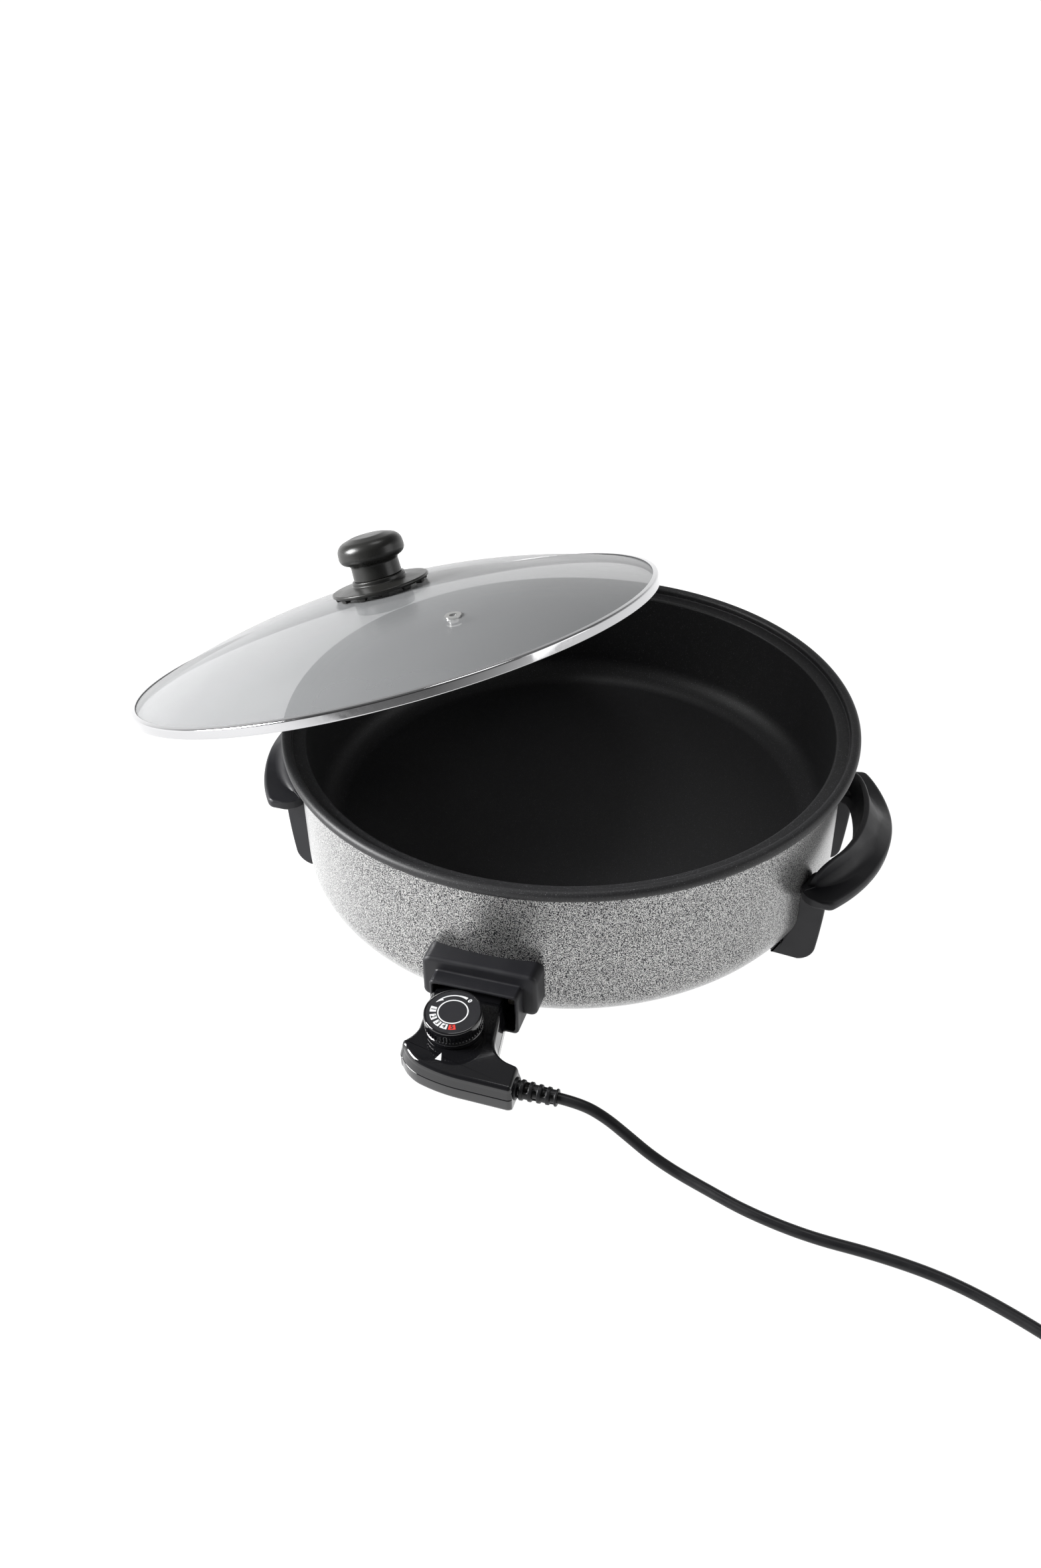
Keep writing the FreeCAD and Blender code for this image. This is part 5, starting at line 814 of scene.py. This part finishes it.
def make_socket():
    """The black flange on the wall and the collar that the control enters."""

    def on_wall(outline):
        ring = []
        for point in outline:
            reach = math.sqrt(jacket_radius(point.y) ** 2 - point.x ** 2) + SEAT
            ring.append((point.x, -reach, point.y))
        return ring

    def upright(outline, reach):
        return [(point.x, -reach, point.y) for point in outline]

    rings = [on_wall(housing_outline(0.0))]
    steps = 7
    for step in range(steps + 1):
        angle = math.pi / 2 * step / steps
        inset = FLANGE_EDGE * (1 - math.cos(angle))
        reach = FLANGE_FRONT - FLANGE_EDGE * (1 - math.sin(angle))
        rings.append(upright(housing_outline(inset), reach))
    # The collar from the flange to its mouth and back inside: inset, raising of its top, and reach
    levels = [
        (0.0, 1.4, FLANGE_FRONT), (0.0, 0.7, FLANGE_FRONT + 0.2), (0.0, 0.2, FLANGE_FRONT + 0.7),
        (0.0, 0.0, FLANGE_FRONT + 1.4), (0.0, 0.0, MOUTH - 1.2), (0.35, 0.0, MOUTH - 0.35),
        (1.1, 0.0, MOUTH), (1.7, 0.0, MOUTH), (2.3, 0.0, MOUTH - 0.4),
        (COLLAR_WALL, 0.0, MOUTH - 1.2), (COLLAR_WALL, 0.0, 198.0),
    ]
    for inset, raised, reach in levels:
        rings.append(upright(collar_ring(inset, raised), reach))
    rings.append(on_wall(collar_ring(COLLAR_WALL)))
    rings.append(rings[0])
    piece("socket", skin(rings), SATIN, "stand", ["socket_housing"], sharp=SOCKET_SHARP)


# Lid

def lid_matrix():
    """Place of the lid's own frame: Z is its axis, from the lower edge of its band."""
    azimuth = math.radians(LID_AZIMUTH)
    across = Vector((-math.sin(azimuth), math.cos(azimuth), 0.0))
    return Matrix.Translation(LID_MIDDLE) @ Matrix.Rotation(math.radians(LID_LEAN), 4, across)


def glass_curve():
    """Radius of the dome and height of its centre in the lid's frame."""
    rise = GLASS_APEX - GLASS_EDGE_HEIGHT
    radius = (GLASS_EDGE ** 2 + rise ** 2) / (2 * rise)
    return radius, GLASS_APEX - radius


def dome_height(reach, depth=0.0):
    """Height of the glass's surface, or of one that much below it."""
    radius, centre = glass_curve()
    return centre + math.sqrt((radius - depth) ** 2 - reach ** 2)


def make_lid():
    """Glass, steel band, knob and the plate under it."""
    lid = lid_matrix()
    radius = glass_curve()[0]
    edge_below = GLASS_EDGE * (radius - GLASS_THICK) / radius
    shares = [step / GLASS_STEPS for step in range(GLASS_STEPS + 1)]
    above = [(GLASS_EDGE * share, dome_height(GLASS_EDGE * share)) for share in shares]
    below = [(edge_below * share, dome_height(edge_below * share, GLASS_THICK)) for share in shares]
    piece("dome", lathe(above + below[::-1], closed=False), GLASS, "lid", ["lid_glass"], lid)
    lip_top = dome_height(BAND_LIP) + 1.1
    band = rounded([
        ((BAND_LIP, 0.0), 0.3), ((LID_RADIUS, 0.0), 1.0), ((LID_RADIUS, BAND_SHOULDER), 1.5),
        ((BAND_LIP, lip_top), 0.35), ((BAND_LIP, lip_top - BAND_THICK), 0.3),
        ((BAND_INSIDE, GLASS_EDGE_HEIGHT), 0.4), ((BAND_INSIDE, BAND_THICK), 0.4),
        ((BAND_LIP, BAND_THICK), 0.3),
    ])
    piece("band", lathe(band), BAND_STEEL, "lid", ["lid_rim"], lid)
    knob = rounded([
        ((0.0, 50.1), 0), ((17.6, 50.1), 0.5), ((17.3, 61.2), 2.4), ((24.2, 64.4), 5.4),
        ((23.7, 76.6), 8.0), ((12.0, 80.1), 10.0), ((0.0, 80.2), 0),
    ], closed=False, steps=10)
    turned_knob = lathe(knob, closed=False, steps=SMALL_LATHE_STEPS)
    piece("knob", turned_knob, KNOB_BLACK, "lid", ["lid_knob"], lid)
    piece("knob_plate", knob_plate(), KNOB_BLACK, "lid", ["knob_base"], lid)


def knob_plate():
    """The plate under the knob and the teeth that stand on the glass."""
    plate = rounded([
        ((2.7, 40.4), 0), ((19.3, 40.4), 0.3), ((19.3, 41.6), 0.6), ((34.6, 42.1), 0.8),
        ((35.6, 43.2), 0.9), ((35.4, 44.9), 1.1), ((20.4, 46.3), 1.2), ((19.3, 47.2), 0.8),
        ((19.3, 50.0), 0.9), ((2.7, 50.0), 0),
    ])
    shapes = [lathe(plate, steps=SMALL_LATHE_STEPS)]
    low = dome_height(TOOTH_INNER - 0.1) + 0.1
    tooth = rounded([
        ((TOOTH_INNER, low), 0.5), ((33.6, low), 0.7), ((34.0, TOOTH_TOP), 0),
        ((TOOTH_INNER, TOOTH_TOP), 0),
    ], steps=3)
    for number in range(TOOTH_COUNT):
        middle = 360.0 / TOOTH_COUNT * number
        rings = []
        for turn, squeeze in TOOTH_SLICES:
            angle = math.radians(middle + turn)
            ring = []
            for point in tooth:
                height = TOOTH_TOP + (point.y - TOOTH_TOP) * squeeze
                ring.append((point.x * math.cos(angle), point.x * math.sin(angle), height))
            rings.append(ring)
        shapes.append(skin(rings, capped=True))
    return merged(*shapes)


# Control

def control_outline():
    """The control from above, counter-clockwise from the neck's left end."""
    left = PLUG_X - NECK_HALF
    right = PLUG_X + NECK_HALF
    front = -CONTROL_FRONT
    back = -CONTROL_START
    end = CONTROL_END
    spots = [
        (left + NECK_CORNER, back), (left, back - NECK_CORNER),
        (left + 2.3, front + 32.6), (left - 3.5, front + 20.6), (left - 0.9, front + 15.4),
        (left + 12.7, front + 5.1), (end - 29.8, front + 0.6), (end - 2.9, front), (end, front + 2.9),
        (end - 1.0, front + 17.6), (end - 3.9, front + 20.3), (end - 9.4, front + 21.6),
        (right + 4.1, front + 35.6), (right, back - NECK_CORNER), (right - NECK_CORNER, back),
    ]
    # From which spot an arc leads to the next one, its radius, and its bend as for arc_points
    arcs = {
        0: (NECK_CORNER, 1), 2: (20.0, -1), 3: (5.0, 1), 4: (29.0, 1), 5: (106.0, 1),
        7: (3.2, 1), 9: (3.4, 1), 11: (18.0, -1), 13: (NECK_CORNER, 1),
    }
    points = []
    for number, spot in enumerate(spots):
        start = Vector(spot)
        if number not in arcs:
            points.append(start)
            continue
        stop = Vector(spots[number + 1])
        radius, turn = arcs[number]
        points += arc_points(start, stop, radius, turn)
    return points


def arc_points(start, stop, radius, turn, steps=8):
    """Points of an arc that bends left for turn 1 and right for turn -1, without its last one."""
    chord = stop - start
    rise = math.sqrt(radius ** 2 - chord.length ** 2 / 4)
    left = Vector((-chord.y, chord.x)).normalized()
    middle = (start + stop) / 2 + left * rise * turn
    first, last = start - middle, stop - middle
    sweep = first.angle(last)
    points = []
    for step in range(steps):
        share = step / steps
        point = first * math.sin((1 - share) * sweep) + last * math.sin(share * sweep)
        points.append(middle + point / math.sin(sweep))
    return points


def face_height(y):
    """Height of the control's sloping face."""
    return FACE_HEIGHT + math.tan(math.radians(FACE_SLOPE)) * (y + MOUTH)


def make_control():
    """The two glossy shells with the tongue that enters the collar."""
    outline = control_outline()

    # The neck's back and the end face stay plane while the rest of the outline grows
    def held(ring):
        most_x = CONTROL_END + 0.25
        return [Vector((min(point.x, most_x), min(point.y, -CONTROL_START))) for point in ring]

    def level_rings(levels):
        return [[(point.x, point.y, height) for point in held(offset(outline, grown))]
                for grown, height in levels]

    split = PARTING + PARTING_GAP
    rings = level_rings([
        (-1.5, split), (SHELL_FLARE - 0.5, split), (SHELL_FLARE - 0.1, split + 0.15),
        (SHELL_FLARE, split + 0.6),
    ])
    for step in range(FACE_EDGE_STEPS + 1):
        angle = math.pi / 2 * step / FACE_EDGE_STEPS
        grown = FACE_EDGE * (math.cos(angle) - 1)
        drop = FACE_EDGE_DROP * (1 - math.sin(angle))
        ring = held(offset(outline, grown))
        rings.append([(point.x, point.y, face_height(point.y) - drop) for point in ring])
    upper = skin(rings, capped=True)
    tongue = slab(
        box_outline(PLUG_X - TONGUE_HALF, PLUG_X + TONGUE_HALF, TONGUE_LOW, TONGUE_HIGH, 1.5),
        [(-0.8, 204.0), (0.0, 204.8), (0.0, 219.0)],
        lambda point, reach: (point.x, -reach, point.y),
    )
    piece("upper_shell", merged(upper, tongue), GLOSS, "control", ["control_top"], sharp=SOFT_SHARP)
    split = PARTING - PARTING_GAP
    lower = skin(level_rings([
        (0.3, 27.0), (1.0, 27.3), (1.4, 28.1), (1.5, 29.0), (1.5, 35.3), (1.4, split - 0.2),
        (1.0, split), (-1.5, split),
    ]), capped=True)
    piece("lower_shell", lower, GLOSS, "control", ["control_bottom"], sharp=SOFT_SHARP)


def boot_shape():
    """The strain relief, drawn along its own axis: ribs joined by webs that face two ways in turn."""
    sunk = BOOT_START - BOOT_SUNK
    corners = [((sunk, 0.0), 0), ((sunk, 4.4), 0), ((BOOT_START, 4.4), 0)]
    last = len(BOOT_RIBS) - 1
    for number, (middle, half, radius) in enumerate(BOOT_RIBS):
        if number:
            corners.append(((middle - half - 0.3, BOOT_CORE), 0.5))
        corners += [((middle - half, radius), 0.7), ((middle + half, radius - 0.15), 0.7)]
        if number < last:
            corners.append(((middle + half + 0.5, BOOT_CORE), 0.5))
    corners += [((BOOT_END, 3.6), 0), ((BOOT_END, 0.0), 0)]
    profile = [(point.y, point.x) for point in rounded(corners, closed=False, steps=4)]
    shapes = [lathe(profile, closed=False, steps=SMALL_LATHE_STEPS)]
    for number in range(last):
        middle, half, radius = BOOT_RIBS[number]
        next_middle, next_half, next_radius = BOOT_RIBS[number + 1]
        low = middle + half - 0.5
        high = next_middle - next_half + 0.5
        web_radius = min(radius, next_radius) - 0.55
        for side in (0.0, 180.0):
            shapes.append(boot_web(low, high, web_radius, side + 90.0 * (number % 2)))
    return merged(*shapes)


def boot_web(low, high, radius, middle):
    """One web between two ribs, with its long sides flared into them."""
    rings = []
    for share in WEB_SLICES:
        half = WEB_HALF + WEB_FLARE * abs(2 * share - 1) ** 3
        turns = [half * step / WEB_STEPS for step in range(-WEB_STEPS, WEB_STEPS + 1)]
        # Out along the rounded back of the web, then back along its inside
        spots = [(radius - 0.5 * (abs(turn) / half) ** 6, turn) for turn in turns]
        spots += [(WEB_INNER, turn) for turn in reversed(turns)]
        ring = []
        for reach, turn in spots:
            angle = math.radians(middle + turn)
            ring.append((reach * math.cos(angle), reach * math.sin(angle), low + (high - low) * share))
        rings.append(ring)
    return skin(rings, capped=True)


def make_boot():
    """Puts the strain relief on the control's end face."""
    y, z = BOOT_AXIS
    place = Matrix.Translation((0.0, y, z)) @ Matrix.Rotation(math.radians(90.0), 4, "Y")
    piece("boot", boot_shape(), SHEATH, "control", ["strain_relief"], place)


# Dial

def dial_matrix():
    """Place of the dial's own frame on the sloping face."""
    x, y = DIAL_MIDDLE
    lean = Matrix.Rotation(math.radians(FACE_SLOPE), 4, "X")
    return Matrix.Translation((x, y, face_height(y))) @ lean


def make_dial():
    """The dial with its fluted side, and the printed disc in its top."""
    place = dial_matrix()
    steps = FLUTES * len(FLUTE_DEPTHS)
    rings = []
    for radius, height, fluted in DIAL_LEVELS:
        ring = []
        for step in range(steps):
            angle = 2 * math.pi * step / steps
            reach = radius - fluted * FLUTE_DEPTHS[step % len(FLUTE_DEPTHS)]
            ring.append((reach * math.cos(angle), reach * math.sin(angle), height))
        rings.append(ring)
    piece("dial", skin(rings, capped=True), GLOSS, "dial", ["dial_knob"], place)
    profile = [
        (0.0, 14.2), (DISC_RADIUS, 14.2), (DISC_RADIUS, 14.62), (17.0, DISC_TOP), (0.0, DISC_TOP),
    ]
    disc = lathe(profile, closed=False, steps=SMALL_LATHE_STEPS)
    piece("dial_disc", disc, SATIN, "dial", ["dial_label"], place)
    make_print(place)


def sector(inner, outer, start, end, steps=24):
    """A thin printed patch between two radii, each as a pair for its two ends, and two angles."""
    ring_in, ring_out = [], []
    for step in range(steps + 1):
        share = step / steps
        angle = math.radians(start + (end - start) * share)
        for ring, (first, last) in ((ring_in, inner), (ring_out, outer)):
            reach = first + (last - first) * share
            ring.append((reach * math.cos(angle), reach * math.sin(angle), PRINT_HEIGHT))
    return skin([ring_in, ring_out], around=False)


def figure(name, text, spot, size, up, ink, place):
    """One printed figure at a spot of the disc, given by radius and angle."""
    curve = bpy.data.curves.new(name, "FONT")
    curve.body = text
    curve.size = size
    curve.offset = FIGURE_BOLDNESS * size
    curve.align_x = "CENTER"
    curve.align_y = "CENTER"
    thing = new_object(name, curve)
    bpy.context.view_layer.update()
    mesh = bpy.data.meshes.new_from_object(thing)
    bpy.data.objects.remove(thing)
    radius, angle = spot[0], math.radians(spot[1])
    centre = Matrix.Translation((radius * math.cos(angle), radius * math.sin(angle), FIGURE_HEIGHT))
    turn = Matrix.Rotation(math.radians(up), 4, "Z")
    points = [tuple(vertex.co) for vertex in mesh.vertices]
    faces = [tuple(face.vertices) for face in mesh.polygons]
    piece(name, moved((points, faces), centre @ turn), ink, "dial", (), place)


def make_print(place):
    """Ring, arc, boxes and figures on the dial."""
    low, high = RING_RADII
    ring = sector((low, low), (high, high), 0.0, 360.0, 96)
    piece("dial_ring", ring, WHITE_INK, "dial", (), place)
    low, high = ARC_RADII
    tip, tip_end, head_start, head = ARC_ENDS
    arc = merged(
        sector((low, low), (high, high), tip_end, head_start),
        sector((high - 0.2, 11.4), (high, high), tip, tip_end, 8),
        sector((low, low - 0.35), (high, high + 0.75), head_start, head),
    )
    piece("dial_arc", arc, WHITE_INK, "dial", (), place)
    low, high = BOX_RADII
    boxes = [sector((low, low), (high, high), angle - BOX_HALF, angle + BOX_HALF, 6)
             for angle in BOX_ANGLES]
    piece("dial_boxes", merged(*boxes[:-1]), WHITE_INK, "dial", (), place)
    piece("dial_red_box", boxes[-1], RED_INK, "dial", (), place)
    radius, size = BOX_FIGURES
    for number, angle in enumerate(BOX_ANGLES, start=1):
        name = "dial_figure_%d" % number
        figure(name, str(number), (radius, angle), size, angle + 90.0, BLACK_INK, place)
    figure("dial_figure_0", "0", ZERO_PLACE, ZERO_SIZE, ZERO_PLACE[1] - 90.0, WHITE_INK, place)


def make_pointer():
    """The small printed pointer on the control's face."""
    corners = [(-6.3, -272.1), (-2.2, -272.3), (-4.0, -266.3)]
    points = [(x, y, face_height(y) + 0.05) for x, y in corners]
    piece("pointer", (points, [(0, 1, 2)]), WHITE_INK, "control")


# Cord

def coil_point(angle):
    """Middle of the cord in the coil, after an angle from its start."""
    half = COIL_TURNS * 360 / 2
    radius = COIL_OUTER - COIL_PITCH * (half - abs(angle - half)) / 360
    climb = clamped((angle - half) / COIL_CLIMB + 0.5)
    height = COIL_HEIGHT + COIL_PITCH * eased(climb)
    turn = math.radians(COIL_START + angle)
    x, y = COIL_MIDDLE
    return x + radius * math.cos(turn), y + radius * math.sin(turn), height


def make_cord():
    """The cord as one smooth line from the control to the plug."""
    count = int(COIL_TURNS * COIL_POINTS)
    coil = [coil_point(COIL_TURNS * 360 * number / count) for number in range(count + 1)]
    route = LEAD_ROUTE + coil + TAIL_ROUTE
    curve = bpy.data.curves.new("cord", "CURVE")
    curve.dimensions = "3D"
    curve.bevel_depth = CORD_DIAMETER / 2 * MM
    curve.bevel_resolution = 6
    curve.use_fill_caps = True
    spline = curve.splines.new("NURBS")
    spline.points.add(len(route) - 1)
    for point, (x, y, z) in zip(spline.points, route):
        point.co = (x * MM, y * MM, z * MM, 1.0)
    spline.order_u = 3
    spline.use_endpoint_u = True
    spline.resolution_u = 8
    curve.materials.append(SHEATH)
    cord = new_object("cord", curve)
    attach(cord, "control")
    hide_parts("cord_lead", "cord_coil", "cord_tail")


# Finishes of the pieces that stay as the solid model has them

def paint_nodes():
    """Gives each remaining solid its finish."""
    finishes = {
        PLAIN_STEEL: ["base_plate", "heating_element", "element_clamps", "centre_stud", "centre_nut",
                      "probe_sleeve", "socket_screws", "grip_screws", "foot_screws", "knob_screw",
                      "case_screws", "dial_spindle"],
        ALUMINIUM: ["heat_plate"],
        CERAMIC: ["socket_insulator", "thermostat_base"],
        BRASS: ["terminal_pins", "earth_pin", "contact_sleeves", "earth_contact", "contact_arms",
                "plug_earth_clips"],
        STEEL: ["probe", "lid_vent", "plug_pins"],
        RUBBER: ["lid_seal"],
        MISTY: ["knob_inner_cap"],
        SHEATH: ["cord_tie", "plug_body"],
    }
    for made, names in finishes.items():
        for name in names:
            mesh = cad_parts[name].data
            mesh.materials.clear()
            mesh.materials.append(made)


# Stage, light and camera

def stage_object(name, points, faces, material):
    """A mesh object of the stage, in metres."""
    mesh = bpy.data.meshes.new(name)
    mesh.from_pydata(points, [], faces)
    mesh.materials.append(material)
    return new_object(name, mesh)


def make_floor():
    """The plain pale floor, which glows so that it shows as white as the photograph's ground."""
    half = FLOOR_HALF
    points = [(-half, -half, 0), (half, -half, 0), (half, half, 0), (-half, half, 0)]
    material = glowing("floor", (0.20, 0.20, 0.20), 0.6, 0.99)
    floor = stage_object("floor", points, [(0, 1, 2, 3)], material)


def make_light(name, place, target, size, power):
    """A soft rectangular light that faces a point."""
    data = bpy.data.lights.new(name, "AREA")
    data.shape = "RECTANGLE"
    data.size, data.size_y = size
    data.energy = power
    light = new_object(name, data)
    light.location = place
    light.rotation_euler = (Vector(target) - Vector(place)).to_track_quat("-Z", "Y").to_euler()


def make_world():
    """A studio that is bright all round at floor level, dim overhead and darker on the camera's side."""
    world = bpy.data.worlds.new("studio")
    world.use_nodes = True
    nodes = world.node_tree.nodes
    links = world.node_tree.links
    way = nodes.new("ShaderNodeTexCoord")
    split = nodes.new("ShaderNodeSeparateXYZ")
    links.new(way.outputs["Generated"], split.inputs["Vector"])
    height = ramp(world, split.outputs["Z"], [(0.04, 1.0), (0.28, 0.45), (0.60, 0.14), (1.0, 0.22)])
    depth = nodes.new("ShaderNodeMapRange")
    depth.inputs["From Min"].default_value = -1.0
    links.new(split.outputs["Y"], depth.inputs["Value"])
    front = ramp(world, depth.outputs["Result"], [(0.10, 0.22), (0.40, 0.80), (0.60, 1.0)])
    mix = color_mix(world, "MULTIPLY")
    mix.inputs["Factor"].default_value = 1.0
    links.new(height.outputs["Color"], mix.inputs[MIX_A])
    links.new(front.outputs["Color"], mix.inputs[MIX_B])
    links.new(mix.outputs[MIX_RESULT], nodes["Background"].inputs["Color"])
    bpy.context.scene.world = world


def make_backdrop():
    """The pale wall all round, far off, which only the camera sees."""
    profile = [(BACKDROP_RADIUS, height) for height in BACKDROP_HEIGHTS]
    points, faces = lathe(profile, closed=False, steps=SMALL_LATHE_STEPS)
    backdrop = stage_object("backdrop", points, faces, glowing("backdrop", (0.0, 0.0, 0.0), 1.0, 1.0))
    backdrop.visible_diffuse = False
    backdrop.visible_glossy = False
    backdrop.visible_transmission = False
    backdrop.visible_shadow = False


def make_camera():
    """The camera of the photograph."""
    data = bpy.data.cameras.new("camera")
    data.sensor_fit = "VERTICAL"
    data.sensor_height = SENSOR
    data.lens = SENSOR * FOCAL_PIXELS / PHOTO_HEIGHT
    data.clip_end = 20.0
    camera = new_object("camera", data)
    turn = Matrix.Rotation(math.radians(CAMERA_AZIMUTH), 4, "Z")
    tilt = Matrix.Rotation(math.radians(90.0 - CAMERA_ELEVATION), 4, "X")
    roll = Matrix.Rotation(math.radians(-CAMERA_ROLL), 4, "Z")
    camera.matrix_world = Matrix.Translation(CAMERA_PLACE) @ turn @ tilt @ roll
    bpy.context.scene.camera = camera


make_camera()
make_cord()
make_floor()
make_world()
make_backdrop()
for light_facts in LIGHTS:
    make_light(*light_facts)
make_pan()
make_grips()
make_legs()
make_socket()
make_lid()
make_control()
make_boot()
make_dial()
make_pointer()
paint_nodes()
bpy.context.scene.view_settings.view_transform = "Standard"

bpy.context.view_layer.update()
